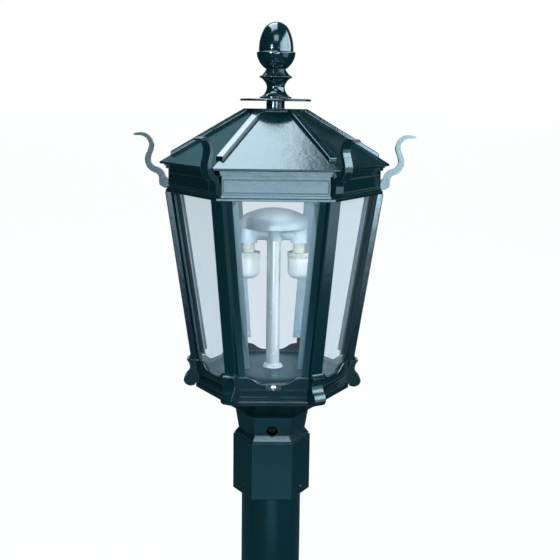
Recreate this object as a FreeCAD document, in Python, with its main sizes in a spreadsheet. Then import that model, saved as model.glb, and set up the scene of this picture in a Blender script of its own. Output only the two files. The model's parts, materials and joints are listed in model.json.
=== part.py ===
import FreeCAD, Part
import math
import os
import re
import Sketcher

# Hexagonal post top lantern with a hinged roof and a twin inverted-mantle burner.
# Millimetres. +Z is up, the origin is on the axis at the mouth of the post collar.
# The hexagon has a flat face towards -Y (the front) and corners on +X and -X.

Vector = FreeCAD.Vector
Rotation = FreeCAD.Rotation
Placement = FreeCAD.Placement
UP = Vector(0, 0, 1)
STEP = 60
SCREW_ANGLES = [90, 210, 330]
CORNERS = ["right", "back_right", "back_left", "left", "front_left", "front_right"]
FACES = ["front", "front_right", "back_right", "back", "back_left", "front_left"]

# Driving sizes. A "corner" is the distance from the axis to a corner of a hexagon,
# a "face" is the distance from the axis to one of its flats.
SIZES = [
    ("post_bore", 38.5, "bore for a 76.2 mm post"),
    ("collar_corner", 49.5, "post collar, corner"),
    ("collar_height", 75, "post collar, overall height"),
    ("collar_ledge", 7, "ledge that the post's end meets"),
    ("collar_bevel", 1.2, "bevel round the collar's two ends"),
    ("supply_bore", 30, "clear way for the gas supply through collar, neck and pan"),
    ("set_screw_radius", 3, "M6 set screw"),
    ("set_screw_level", 10.5, "height of the set screws"),
    ("set_screw_proud", 1.6, "set screw standing out of the collar's flat"),
    ("tip_gap", 0.3, "set screw tip back from the bore"),
    ("fit_gap", 0.05, "radial clearance of a screw, pipe or pin in its hole"),
    ("collar_screw_circle", 35, "screws that hold the neck on the collar"),
    ("small_screw", 2.5, "shank radius of the M5 screws"),
    ("small_head", 4.2, "head radius of the M5 screws"),
    ("small_head_height", 3, "head height of the M5 screws"),
    ("screw_bite", 11, "length of an M5 screw in the neck"),
    ("neck_groove_corner", 46.8, "neck foot, groove over the collar"),
    ("neck_groove", 1.6, "height of that groove"),
    ("neck_shoulder_corner", 48.6, "neck shoulder"),
    ("neck_shoulder", 1, "height of the shoulder's edge"),
    ("neck_waist_corner", 42.6, "neck at its waist"),
    ("neck_waist", 8, "waist over the collar"),
    ("neck_top_corner", 46.8, "neck at its top"),
    ("neck_height", 33, "neck, overall height"),
    ("valve_window_radius", 7.5, "hole in the neck's front for the gas key"),
    ("valve_rise", 14.5, "gas key and its hole over the collar"),
    ("pan_foot_corner", 48.5, "pan underside where it meets the neck"),
    ("pan_flange_corner", 97, "pan flange, lower edge"),
    ("pan_slope", 27.8, "height of the pan's slope"),
    ("pan_top_corner", 97.6, "pan rim"),
    ("pan_height", 35, "pan, overall height"),
    ("pan_wall", 4.2, "pan wall"),
    ("pan_bolt_circle", 36, "bolts from the pan into the neck"),
    ("rail_height", 30.5, "base rail, overall height"),
    ("rail_dip_depth", 8.5, "depth of a rail's wavy top"),
    ("dip_half", 9, "half width of the flat bottom of the dip"),
    ("wave_half", 33, "half width of the whole wave"),
    ("rail_back", 75.5, "inner face of a rail"),
    ("floor_rise", 18.5, "ledge for the floor plate, over the pan"),
    ("floor_thick", 2, "floor plate"),
    ("pane_step", 2.5, "ledge for the panes, over the floor's ledge"),
    ("seat_step", 79, "face of the step between the two ledges"),
    ("band_face", 84.4, "recessed band on a rail"),
    ("band_rise", 5, "band's lower edge over the pan"),
    ("band_height", 7.6, "band"),
    ("bead_proud", 1.5, "beads standing out of the band"),
    ("shadow_gap", 1.6, "shadow gap under the lower bead"),
    ("foot_half", 7.75, "half width of a foot and of a post's strap"),
    ("foot_back", 83, "inner face of a foot"),
    ("foot_clear", 0.1, "foot's lip off the strap"),
    ("foot_lip", 4.5, "height of the lip in front of the strap"),
    ("foot_point", 109.3, "pointed bead on a foot"),
    ("foot_hollow", 104.8, "hollow of a foot"),
    ("foot_hollow_rise", 19.5, "hollow over the pan"),
    ("foot_scroll", 112.8, "scroll of a foot"),
    ("foot_scroll_rise", 3.5, "scroll's widest place over the pan"),
    ("foot_toe", 102, "foot's lowest point"),
    ("foot_drop", 3.7, "foot's lowest point under the pan's rim"),
    ("post_height", 211.7, "corner post, upright height"),
    ("ring_thick", 3.4, "cage ring"),
    ("ring_corner", 134.6, "cage ring, outer corner"),
    ("ring_hole", 118, "cage ring, inner corner"),
    ("frame_low", 100.5, "corner of the pane frame at the rails' top"),
    ("frame_high", 131.9, "corner of the pane frame at the ring"),
    ("strap_proud", 2.7, "strap standing out of the frame's corner"),
    ("strap_bevel", 1, "bevel on a strap's edges"),
    ("flange_wide", 16.5, "flange from the corner to the pane's opening"),
    ("flange_thick", 3, "flange"),
    ("glass_thick", 3, "glass"),
    ("glass_edge", 2.6, "glass edge back from its neighbour, clear of the screws"),
    ("glass_gap", 0.3, "play over a pane"),
    ("retainer_reach", 19.2, "retainer arm"),
    ("retainer_thick", 1.5, "retainer sheet"),
    ("retainer_foot", 8.5, "retainer's lower end over the rails"),
    ("retainer_head", 1.7, "retainer's upper end under the ring"),
    ("trim_screw", 1.9, "shank radius of the M4 screws"),
    ("trim_head", 3.4, "head radius of the M4 screws"),
    ("trim_head_height", 1.8, "head height of the M4 screws"),
    ("trim_screw_inset", 14, "end screws from a retainer's ends"),
    ("trim_bite", 0.6, "M4 screw past the frame's corner into the strap"),
    ("roof_gap", 0.4, "parting gap between cage and roof"),
    ("frieze_corner", 133.5, "frieze"),
    ("frieze_wall", 5, "frieze wall"),
    ("frieze_height", 30.5, "frieze, overall height"),
    ("low_mould_corner", 135.3, "lower moulding of the frieze"),
    ("low_mould_height", 2.6, "its height"),
    ("cornice_corner", 136.6, "upper moulding of the frieze"),
    ("cornice_drop", 5.3, "its underside below the eave"),
    ("soffit_corner", 138.6, "soffit fillet"),
    ("soffit_drop", 2, "its underside below the eave"),
    ("panel_half", 60, "half width of a frieze panel"),
    ("panel_rise", 4.6, "panel over the frieze's lower edge"),
    ("panel_height", 16.4, "frieze panel"),
    ("panel_groove", 1.6, "width of the groove round a panel"),
    ("panel_depth", 1.2, "depth of that groove"),
    ("eave_corner", 142, "eave"),
    ("eave_edge", 2.6, "height of the eave's edge"),
    ("roof_top_corner", 37.6, "flat top of the roof"),
    ("roof_height", 64.5, "roof from the frieze to its flat top"),
    ("roof_wall", 3.5, "roof wall, square to the slope"),
    ("flue_radius", 24, "opening in the roof's flat top"),
    ("cap_thick", 3.7, "cap plate over that opening"),
    ("vent_circle", 18.6, "vent holes in the cap plate"),
    ("vent_radius", 4.2, "vent hole"),
    ("rib_half", 5, "half width of a hip rib"),
    ("rib_proud", 4.5, "rib standing out of the hip, measured upright"),
    ("rib_end", 128, "rib's lower end from the axis"),
    ("horn_half", 5, "half width of a horn"),
    ("horn_seat", 130.6, "flat on the frieze's corner for a horn's foot"),
    ("horn_foot_rise", 1, "lower end of a horn's foot over the frieze's edge"),
    ("horn_thick", 8.4, "thickness of a horn's strap"),
    ("horn_foot_set", 6, "middle of the strap from the frieze, at the foot"),
    ("horn_foot_toe", 4, "toe under the start of the strap"),
    ("horn_toe_wide", 5.2, "width of the toe's underside"),
    ("horn_foot_back", 9, "height of the foot's back on the frieze"),
    ("horn_foot_clear", 3, "strap's inner side starts that much above the back"),
    ("horn_foot_run", 10.4, "straight part of the foot"),
    ("horn_heel_radius", 10.1, "bend under the eave"),
    ("horn_belly_radius", 13.4, "bend outside the eave"),
    ("horn_waist_run", 7.6, "straight part of the waist"),
    ("horn_crest_radius", 13.6, "bend at the top"),
    ("horn_tip_run", 6.6, "straight part of the tip"),
    ("horn_tip_thick", 2, "thickness at the tip"),
    ("horn_screw_rise", 12, "horn's screw over the frieze's edge"),
    ("horn_screw_bite", 5, "horn's screw in the foot"),
    ("spacer_radius", 11.3, "spacer under the drip disc"),
    ("spacer_height", 9.1, "its height"),
    ("disc_radius", 43.6, "drip disc"),
    ("disc_thick", 3.5, "drip disc, middle"),
    ("disc_edge", 2, "drip disc, edge"),
    ("finial_foot", 19.4, "finial's flared foot"),
    ("finial_foot_edge", 1.6, "height of the foot's edge"),
    ("finial_neck", 11, "finial's neck"),
    ("finial_neck_rise", 14.5, "neck over the disc"),
    ("finial_ring", 20.6, "sharp ring"),
    ("finial_ring_rise", 25.4, "ring over the disc"),
    ("finial_waist", 11.9, "waist under the cup"),
    ("finial_waist_rise", 34.6, "waist over the disc"),
    ("finial_cup", 23.8, "lip of the cup"),
    ("finial_cup_rise", 54, "lip over the disc"),
    ("finial_lip", 0.9, "lip's bevel"),
    ("finial_egg", 21, "egg where it sits in the cup"),
    ("finial_shoulder", 16, "egg where the crown begins"),
    ("finial_shoulder_rise", 80.3, "the same, over the disc"),
    ("finial_rise", 90.7, "finial's top over the disc"),
    ("stud_radius", 4.9, "M10 stud through the roof's top"),
    ("stud_bite", 22, "stud inside the finial"),
    ("stud_tail", 12, "stud under the cap plate"),
    ("nut_height", 8, "stud nut"),
    ("nut_corner", 9.8, "stud nut, corner"),
    ("hinge_offset", 5.4, "hinge axis out of the ring's face"),
    ("hinge_rise", 0.2, "hinge axis over the ring"),
    ("knuckle_radius", 4.2, "hinge knuckle"),
    ("pin_radius", 2.5, "hinge pin"),
    ("hinge_half", 30, "half length of the hinge"),
    ("knuckle_half", 13, "half length of the cage's knuckle"),
    ("knuckle_gap", 0.4, "gap beside it"),
    ("leaf_thick", 2.5, "hinge leaf"),
    ("leaf_height", 20, "hinge leaf's upper edge over the frieze's edge"),
    ("leaf_joggle", 5.5, "hinge leaf's joggle over the frieze's edge"),
    ("leaf_screw_rise", 14, "screws of the leaf over the frieze's edge"),
    ("leaf_screw_half", 19, "half spacing of those screws"),
    ("leaf_screw_bite", 4, "those screws in the frieze"),
    ("pin_head", 3.6, "head of the hinge pin"),
    ("pin_head_thick", 1.8, "its thickness"),
    ("button_drop", 4.4, "pane button's pivot under the rail's dip"),
    ("button_half", 9.5, "half length of the pane button"),
    ("button_wide", 3.5, "half width of the pane button"),
    ("button_thick", 2, "pane button"),
    ("button_grip", 0.6, "grips on its ends"),
    ("button_bite", 1, "its screw, short of the step behind the rail"),
    ("side_gap", 0.3, "gap on each side of a turning plate"),
    ("riser_radius", 8.55, "gas riser, a 17.1 mm pipe"),
    ("riser_wall", 2.3, "its wall"),
    ("riser_rise", 160.5, "riser's upper end over the rails"),
    ("valve_radius", 13, "gas cock's body"),
    ("valve_foot", 1.5, "cock's lower end over the collar"),
    ("valve_socket", 9, "riser in the cock"),
    ("valve_roof", 0.5, "riser's lower end over the key's bore"),
    ("inlet_radius", 7.6, "gas inlet thread"),
    ("inlet_depth", 8, "its depth"),
    ("plug_radius", 4, "gas key"),
    ("plug_port", 2.2, "port through the key"),
    ("plug_back", 8, "key behind the axis"),
    ("boss_radius", 8, "boss round the key"),
    ("boss_reach", 19, "boss in front of the axis"),
    ("gland_thick", 3.5, "gland nut"),
    ("gland_corner", 7.4, "gland nut, corner"),
    ("key_head", 6, "key's head"),
    ("key_head_thick", 3, "its thickness"),
    ("key_slot", 1.6, "slot in the head"),
    ("jet_height", 9, "gas jet"),
    ("jet_hole", 0.8, "its orifice"),
    ("flange_radius", 13.4, "flange nut on the floor"),
    ("flange_height", 4, "its height"),
    ("locknut_corner", 15.4, "locknut under the floor"),
    ("locknut_height", 6, "its height"),
    ("hub_radius", 10.6, "manifold hub"),
    ("hub_skirt", 9, "hub over the riser's end"),
    ("arm_radius", 8, "manifold arm"),
    ("arm_bore", 2.5, "its bore"),
    ("arm_rise", 0, "arm over the riser's end"),
    ("burner_spread", 31.2, "burners from the axis"),
    ("cup_radius", 10.3, "burner cup"),
    ("cup_drop", 11, "cup under the riser's end"),
    ("cup_rise", 11, "cup over the riser's end"),
    ("nozzle_radius", 7.3, "ceramic nozzle"),
    ("nozzle_bore", 5, "its bore"),
    ("nozzle_socket", 7, "nozzle in the cup"),
    ("nozzle_length", 18.5, "nozzle under the cup"),
    ("collarette_radius", 14.2, "mantle ring"),
    ("collarette_lug", 16.6, "lugs of the mantle ring"),
    ("lug_radius", 3.4, "rounding of a lug"),
    ("collarette_rise", 0.5, "ring over the nozzle's end"),
    ("collarette_thick", 6, "mantle ring"),
    ("mantle_radius", 13.7, "mantle"),
    ("mantle_wall", 1, "mantle's fabric"),
    ("mantle_length", 27.5, "mantle"),
    ("mantle_round", 10, "rounding of its lower end"),
    ("dome_radius", 43.6, "burner dome"),
    ("dome_wall", 1.5, "its wall"),
    ("dome_lift", 8.6, "dome's rim over the riser's end"),
    ("dome_skirt", 5, "upright part of the dome over its rim"),
    ("dome_rise", 23.4, "dome, overall height"),
    ("dome_land", 12, "flat land on top of the dome"),
    ("dome_shoulder", 37.5, "dome's shoulder"),
    ("dome_shoulder_drop", 8.9, "shoulder under the dome's top"),
]

# Heights that follow from them.
LEVELS = [
    ("collar_socket", "collar_height - collar_ledge"),
    ("neck_waist_level", "collar_height + neck_waist"),
    ("neck_top_level", "collar_height + neck_height"),
    ("valve_level", "collar_height + valve_rise"),
    ("pan_flange_low", "neck_top_level + pan_slope"),
    ("pan_top", "neck_top_level + pan_height"),
    ("floor_seat", "pan_top + floor_rise"),
    ("floor_top", "floor_seat + floor_thick"),
    ("pane_seat", "floor_seat + pane_step"),
    ("band_low", "pan_top + band_rise"),
    ("band_high", "band_low + band_height"),
    ("foot_hollow_level", "pan_top + foot_hollow_rise"),
    ("foot_scroll_level", "pan_top + foot_scroll_rise"),
    ("foot_bottom", "pan_top - foot_drop"),
    ("rail_top", "pan_top + rail_height"),
    ("rail_dip", "rail_top - rail_dip_depth"),
    ("rail_face", "frame_low * cos(30)"),
    ("button_level", "rail_dip - button_drop"),
    ("retainer_low", "rail_top + retainer_foot"),
    ("ring_low", "rail_top + post_height"),
    ("ring_top", "ring_low + ring_thick"),
    ("retainer_high", "ring_low - retainer_head"),
    ("hinge_level", "ring_top + hinge_rise"),
    ("hinge_back", "ring_corner * cos(30) + hinge_offset"),
    ("roof_low", "ring_top + roof_gap"),
    ("frieze_top", "roof_low + frieze_height"),
    ("low_mould_top", "roof_low + low_mould_height"),
    ("cornice_low", "frieze_top - cornice_drop"),
    ("soffit_low", "frieze_top - soffit_drop"),
    ("panel_low", "roof_low + panel_rise"),
    ("panel_high", "panel_low + panel_height"),
    ("leaf_top", "roof_low + leaf_height"),
    ("leaf_low", "roof_low + leaf_joggle"),
    ("leaf_screw_level", "roof_low + leaf_screw_rise"),
    ("horn_foot_low", "roof_low + horn_foot_rise"),
    ("horn_screw_level", "roof_low + horn_screw_rise"),
    ("roof_knee", "frieze_top + eave_edge"),
    ("roof_top", "frieze_top + roof_height"),
    ("roof_slope", "(roof_top - roof_knee) / (eave_corner - roof_top_corner)"),
    ("cap_top", "roof_top + cap_thick"),
    ("disc_low", "cap_top + spacer_height"),
    ("disc_top", "disc_low + disc_thick"),
    ("valve_low", "collar_height + valve_foot"),
    ("riser_low", "valve_level + plug_radius + valve_roof"),
    ("valve_high", "riser_low + valve_socket"),
    ("riser_top", "rail_top + riser_rise"),
    ("hub_low", "riser_top - hub_skirt"),
    ("arm_level", "riser_top + arm_rise"),
    ("cup_low", "riser_top - cup_drop"),
    ("cup_high", "riser_top + cup_rise"),
    ("nozzle_low", "cup_low - nozzle_length"),
    ("nozzle_high", "cup_low + nozzle_socket"),
    ("collarette_low", "nozzle_low + collarette_rise"),
    ("mantle_low", "collarette_low - mantle_length"),
    ("dome_rim", "riser_top + dome_lift"),
    ("dome_top", "dome_rim + dome_rise"),
    ("dome_shoulder_level", "dome_top - dome_shoulder_drop"),
]

HORN_FOOT_LEAN = 79
HORN_HEEL_TURN = 64.5
HORN_BELLY_TURN = 97.2
HORN_CREST_TURN = 116.6

doc = FreeCAD.newDocument("PostTopLantern")
dims = doc.addObject("Spreadsheet::Sheet", "Dims")
for line, (name, value, note) in enumerate(SIZES, start=1):
    dims.set("A%d" % line, note)
    dims.set("B%d" % line, str(value))
    dims.setAlias("B%d" % line, name)
for line, (name, formula) in enumerate(LEVELS, start=1):
    dims.set("C%d" % line, "=" + formula)
    dims.setAlias("C%d" % line, name)
doc.recompute()
NAMES = {row[0] for row in SIZES + LEVELS}
parts = {}


def bound(text):
    """Turn size names in a formula into references to the sheet."""
    return re.sub(r"[a-z_]+", lambda word: "Dims." + word.group() if word.group() in NAMES else word.group(), text)


def size(text):
    return float(dims.evalExpression(bound(text)))


def tie(thing, **formulas):
    """Bind properties to formulas; two underscores stand for a dot."""
    for prop, formula in formulas.items():
        thing.setExpression(prop.replace("__", "."), bound(formula))
    return thing


def keep(name, thing, turn=0):
    """Name a finished sub-part and turn it about the axis to its place."""
    thing.Label = name
    thing.Placement = Placement(Vector(), Rotation(UP, turn))
    parts[name] = thing
    return thing


# Formulas that several pieces share.
def frameCorner(level):
    """Corner of the leaning pane frame at a height."""
    return "(frame_low + (frame_high - frame_low) * (%s - rail_top) / (ring_low - rail_top))" % level


def glassFace(level):
    """Outer face of the glass at a height."""
    return "(%s * cos(30) - flange_thick)" % frameCorner(level)


# Sketches: an outline is a list of corners (x, y) or (x, y, bend, side), where the edge
# that leads to the corner bends with its centre on that side of the way. A bend is a
# radius formula, or the angle in degrees that the edge turns through.
def numeric(corner):
    return Vector(size(corner[0]), size(corner[1]), 0)


def bendRadius(start, target):
    bend = target[2]
    if isinstance(bend, str):
        return bend
    chord = "sqrt((%s - (%s))^2 + (%s - (%s))^2)" % (target[0], start[0], target[1], start[1])
    return "%s / (2 * sin(%g))" % (chord, bend / 2)


def arcEdge(start, end, radius, side):
    along = end - start
    middle = (start + end) * 0.5
    left = Vector(-along.y, along.x, 0).normalize()
    sign = 1 if side == "left" else -1
    centre = middle + left * (sign * math.sqrt(radius ** 2 - (along.Length / 2) ** 2))
    angles = [math.atan2(p.y - centre.y, p.x - centre.x) for p in (start, end)]
    if side == "right":
        angles.reverse()
    return Part.ArcOfCircle(Part.Circle(centre, UP, radius), angles[0], angles[1])


def drawLoop(sketch, outline):
    points = [numeric(corner) for corner in outline]
    count = len(outline)
    first = sketch.GeometryCount
    ends = []
    for i in range(count):
        target = outline[(i + 1) % count]
        start, end = points[i], points[(i + 1) % count]
        if len(target) > 2:
            formula = bendRadius(outline[i], target)
            radius = size(formula)
            sketch.addGeometry(arcEdge(start, end, radius, target[3]), False)
            rule = sketch.addConstraint(Sketcher.Constraint("Radius", first + i, radius))
            sketch.setExpression("Constraints[%d]" % rule, bound(formula))
            ends.append((1, 2) if target[3] == "left" else (2, 1))
        else:
            sketch.addGeometry(Part.LineSegment(start, end), False)
            ends.append((1, 2))
    for i in range(count):
        after = (i + 1) % count
        sketch.addConstraint(Sketcher.Constraint("Coincident", first + i, ends[i][1], first + after, ends[after][0]))
        for axis, kind in ((0, "DistanceX"), (1, "DistanceY")):
            value = points[i][axis]
            rule = sketch.addConstraint(Sketcher.Constraint(kind, -1, 1, first + i, ends[i][0], value))
            if outline[i][axis] != "0":
                sketch.setExpression("Constraints[%d]" % rule, bound(outline[i][axis]))


def drawCircle(sketch, x, y, radius):
    index = sketch.addGeometry(Part.Circle(numeric((x, y)), UP, size(radius)), False)
    for kind, formula in (("DistanceX", x), ("DistanceY", y)):
        rule = sketch.addConstraint(Sketcher.Constraint(kind, -1, 1, index, 3, size(formula)))
        if formula != "0":
            sketch.setExpression("Constraints[%d]" % rule, bound(formula))
    rule = sketch.addConstraint(Sketcher.Constraint("Radius", index, size(radius)))
    sketch.setExpression("Constraints[%d]" % rule, bound(radius))


def newSketch(body, plane, loops=(), circles=(), lift="0"):
    sketch = body.newObject("Sketcher::SketchObject", "Sketch")
    origin = [item for item in body.Origin.OriginFeatures if item.Role == plane][0]
    sketch.AttachmentSupport = [(origin, "")]
    sketch.MapMode = "FlatFace"
    if lift != "0":
        tie(sketch, AttachmentOffset__Base__z=lift)
    for outline in loops:
        drawLoop(sketch, outline)
    for circle in circles:
        drawCircle(sketch, *circle)
    return sketch


def newBody(name):
    return doc.addObject("PartDesign::Body", name + "_body")


def revolve(body, outline):
    """Turn an outline of (radius, height) corners about the axis."""
    feature = body.newObject("PartDesign::Revolution", "Revolution")
    feature.Profile = newSketch(body, "XZ_Plane", [outline])
    feature.ReferenceAxis = (feature.Profile[0], ["V_Axis"])
    feature.Angle = 360
    return feature


def pad(body, sketch, length, symmetric=False):
    feature = body.newObject("PartDesign::Pad", "Pad")
    feature.Profile = sketch
    tie(feature, Length=length)
    if symmetric:
        feature.SideType = "Symmetric"
    return feature


def pocketThrough(body, sketch):
    """Cut a sketch right through the body, both ways."""
    feature = body.newObject("PartDesign::Pocket", "Pocket")
    feature.Profile = sketch
    feature.Type = "ThroughAll"
    feature.SideType = "Symmetric"
    return feature


def turned(name, outline):
    body = newBody(name)
    revolve(body, outline)
    return keep(name, body)


# Primitives and booleans.
def hexagon(corner, level):
    polygon = doc.addObject("Part::RegularPolygon", "Hexagon")
    polygon.Polygon = 6
    return tie(polygon, Circumradius=corner, Placement__Base__z=level)


def hexStack(levels):
    """Solid through hexagons given as (corner, height)."""
    loft = doc.addObject("Part::Loft", "HexStack")
    loft.Sections = [hexagon(corner, level) for corner, level in levels]
    loft.Solid = True
    loft.Ruled = True
    return loft


def hexPrism(corner, low, high):
    prism = doc.addObject("Part::Prism", "HexPrism")
    prism.Polygon = 6
    return tie(prism, Circumradius=corner, Height="(%s) - (%s)" % (high, low), Placement__Base__z=low)


def rod(radius, length, x="0", y="0", z="0", along=UP):
    """Cylinder from a point along a direction."""
    cylinder = doc.addObject("Part::Cylinder", "Rod")
    cylinder.Placement = Placement(Vector(), Rotation(UP, along))
    return tie(cylinder, Radius=radius, Height=length,
               Placement__Base__x=x, Placement__Base__y=y, Placement__Base__z=z)


def block(x, y, z):
    """Box between pairs of formulas."""
    box = doc.addObject("Part::Box", "Block")
    return tie(box, Length="(%s) - (%s)" % (x[1], x[0]), Width="(%s) - (%s)" % (y[1], y[0]),
               Height="(%s) - (%s)" % (z[1], z[0]),
               Placement__Base__x=x[0], Placement__Base__y=y[0], Placement__Base__z=z[0])


def group(things):
    compound = doc.addObject("Part::Compound", "Group")
    compound.Links = things
    return compound


def join(things):
    fusion = doc.addObject("Part::MultiFuse", "Join")
    fusion.Shapes = things
    return fusion


def cut(base, tools):
    result = doc.addObject("Part::Cut", "Cut")
    result.Base = base
    result.Tool = tools[0] if len(tools) == 1 else group(tools)
    return result


def polar(angle):
    """Unit vector across the axis at an angle from +X, and its two formulas."""
    direction = Vector(math.cos(math.radians(angle)), math.sin(math.radians(angle)), 0)
    return direction, "cos(%d)" % angle, "sin(%d)" % angle


def radialRod(angle, radius, start, end, level):
    """Cylinder along a radius of the lantern."""
    direction, cosine, sine = polar(angle)
    return rod(radius, "(%s) - (%s)" % (end, start), "(%s) * %s" % (start, cosine),
               "(%s) * %s" % (start, sine), level, direction)


def spin(thing, turn):
    thing.Placement = Placement(Vector(), Rotation(UP, turn))
    return thing


# The post collar: a hexagonal socket with a ledge that the post's end meets.
def postCollar():
    corner = "collar_corner"
    outside = hexStack([(corner + " - collar_bevel", "0"), (corner, "collar_bevel"),
                        (corner, "collar_height - collar_bevel"), (corner + " - collar_bevel", "collar_height")])
    holes = [rod("post_bore", "collar_socket + 1", z="-1"), rod("supply_bore", "collar_height", z="1")]
    for angle in SCREW_ANGLES:
        holes.append(radialRod(angle, "set_screw_radius + fit_gap", "post_bore - 4", "collar_corner + 4",
                               "set_screw_level"))
    for angle in SCREW_ANGLES:
        x, y = ["collar_screw_circle * %s" % part for part in polar(angle)[1:]]
        holes.append(rod("small_screw + fit_gap", "collar_height", x, y, "collar_socket - 1"))
        holes.append(rod("small_head + fit_gap", "small_head_height + 1", x, y, "collar_socket - 1"))
    return keep("fitter_collar", cut(outside, holes))


def setScrews():
    screws = []
    outer = "collar_corner * cos(30) + set_screw_proud"
    for angle in SCREW_ANGLES:
        shank = radialRod(angle, "set_screw_radius", "post_bore + tip_gap", outer, "set_screw_level")
        socket = radialRod(angle, "set_screw_radius / 2", outer + " - set_screw_radius", outer + " + 1",
                           "set_screw_level")
        screws.append(cut(shank, [socket]))
    keep("collar_set_screws", group(screws))


def verticalScrews(name, circle, seat, length, headUp):
    """Screws on a circle; the head lies above or below its seat."""
    screws = []
    for angle in SCREW_ANGLES:
        x, y = ["%s * %s" % (circle, part) for part in polar(angle)[1:]]
        headLow = seat if headUp else seat + " - small_head_height"
        shankLow = "%s - %s" % (seat, length) if headUp else seat
        head = rod("small_head", "small_head_height", x, y, headLow)
        socket = rod("small_head / 2", "small_head_height / 2", x, y,
                     seat + " + small_head_height / 2" if headUp else seat + " - small_head_height")
        shank = rod("small_screw", length, x, y, shankLow)
        screws.append(cut(join([head, shank]), [socket]))
    return keep(name, group(screws))


# The neck casting, with the window for the valve key in its front.
def neck():
    shoulder = "collar_height + neck_groove"
    outside = hexStack([("neck_groove_corner", "collar_height"), ("neck_groove_corner", shoulder),
                        ("neck_shoulder_corner", shoulder + " + 0.3"),
                        ("neck_shoulder_corner", shoulder + " + neck_shoulder"),
                        ("neck_waist_corner", "neck_waist_level"), ("neck_top_corner", "neck_top_level")])
    holes = [rod("supply_bore", "neck_top_level", z="collar_height - 1"),
             radialRod(270, "valve_window_radius", "supply_bore - 8", "neck_top_corner", "valve_level")]
    for angle in SCREW_ANGLES:
        x, y = ["collar_screw_circle * %s" % part for part in polar(angle)[1:]]
        holes.append(rod("small_screw + fit_gap", "screw_bite + 1.5", x, y, "collar_height - 1"))
    for angle in SCREW_ANGLES:
        x, y = ["pan_bolt_circle * %s" % part for part in polar(angle)[1:]]
        holes.append(rod("small_screw + fit_gap", "screw_bite + 1.5", x, y, "neck_top_level - screw_bite - 0.5"))
    keep("neck_casting", cut(outside, holes))


# The base pan: a hexagonal funnel with an upright flange.
def basePan():
    rise = "(pan_flange_low - neck_top_level) / (pan_flange_corner - pan_foot_corner)"
    outside = hexStack([("pan_foot_corner", "neck_top_level"), ("pan_flange_corner", "pan_flange_low"),
                        ("pan_top_corner", "pan_flange_low + 0.8"), ("pan_top_corner", "pan_top")])
    innerCorner = "(pan_top_corner - pan_wall * 1.2)"
    floorLevel = "(neck_top_level + pan_wall)"
    # the inner slope runs parallel to the outer one, a wall's thickness above it
    lift = "pan_wall * 1.25"
    innerFoot = "(pan_foot_corner + (pan_wall - %s) / (%s))" % (lift, rise)
    innerKnee = "(neck_top_level + %s + (%s - pan_foot_corner) * (%s))" % (lift, innerCorner, rise)
    inside = hexStack([(innerFoot, floorLevel), (innerCorner, innerKnee), (innerCorner, "pan_top + 1")])
    holes = [inside, rod("supply_bore", "pan_top", z="neck_top_level - 1")]
    for angle in SCREW_ANGLES:
        x, y = ["pan_bolt_circle * %s" % part for part in polar(angle)[1:]]
        holes.append(rod("small_screw + fit_gap", "pan_wall + 2", x, y, "neck_top_level - 1"))
    keep("base_pan", cut(outside, [join(holes)]))


# A base rail: one bar between two feet, with a wavy top, two ledges and a band.
def baseRail(face, turn):
    body = newBody("rail")
    back = "-rail_back"
    step = "-seat_step"
    bead = "-(band_face + bead_proud)"
    low = "pan_top"
    profile = [
        (back, low), (back, "floor_seat"), (step, "floor_seat"), (step, "pane_seat"),
        ("-(%s + glass_gap)" % glassFace("pane_seat"), "pane_seat"),
        ("-(%s + glass_gap)" % glassFace("rail_top"), "rail_top"),
        ("-rail_face", "rail_top"), ("-rail_face", "band_high + 2.4"),
        ("-band_face", "band_high + 1.8"), ("-band_face", "band_high + 1.2"),
        (bead, "band_high + 0.8"), (bead, "band_high + 0.2"), ("-band_face", "band_high - 0.4"),
        ("-band_face", "band_low"), (bead, "band_low - 0.8"),
        (bead, "pan_top + shadow_gap"), ("-(band_face - 2)", "pan_top + shadow_gap"), ("-(band_face - 2)", low),
    ]
    pad(body, newSketch(body, "YZ_Plane", [profile]), "frame_low + 8", symmetric=True)
    ends = []
    for sign in ("", "-"):
        near, far = "(rail_back - 3)", "(rail_face + 3)"
        edge = "%s((%s) * tan(30) - foot_half / cos(30))"
        ends.append([(edge % (sign, near), "-" + near), (sign + "frame_low", "-" + near),
                     (sign + "frame_low", "-" + far), (edge % (sign, far), "-" + far)])
    pocketThrough(body, newSketch(body, "XY_Plane", ends))
    drop = "(rail_top - rail_dip)"
    run = "(wave_half - dip_half)"
    bend = "(%s^2 + %s^2) / (4 * %s)" % (run, drop, drop)
    middle = "(rail_top + rail_dip) / 2"
    half = "(wave_half + dip_half) / 2"
    wave = [("-wave_half", "rail_top"), ("-" + half, middle, bend, "right"), ("-dip_half", "rail_dip", bend, "left"),
            ("dip_half", "rail_dip"), (half, middle, bend, "left"), ("wave_half", "rail_top", bend, "right"),
            ("wave_half", "rail_top + 4"), ("-wave_half", "rail_top + 4")]
    pocketThrough(body, newSketch(body, "XZ_Plane", [wave]))
    if face == "front":
        back = "(seat_step + button_bite - fit_gap)"
        hole = rod("trim_screw + fit_gap", "rail_face - %s + 1" % back, "0", "-" + back, "button_level",
                   Vector(0, -1, 0))
        body = cut(body, [hole])
    keep("base_rail_" + face, body, turn)


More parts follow.
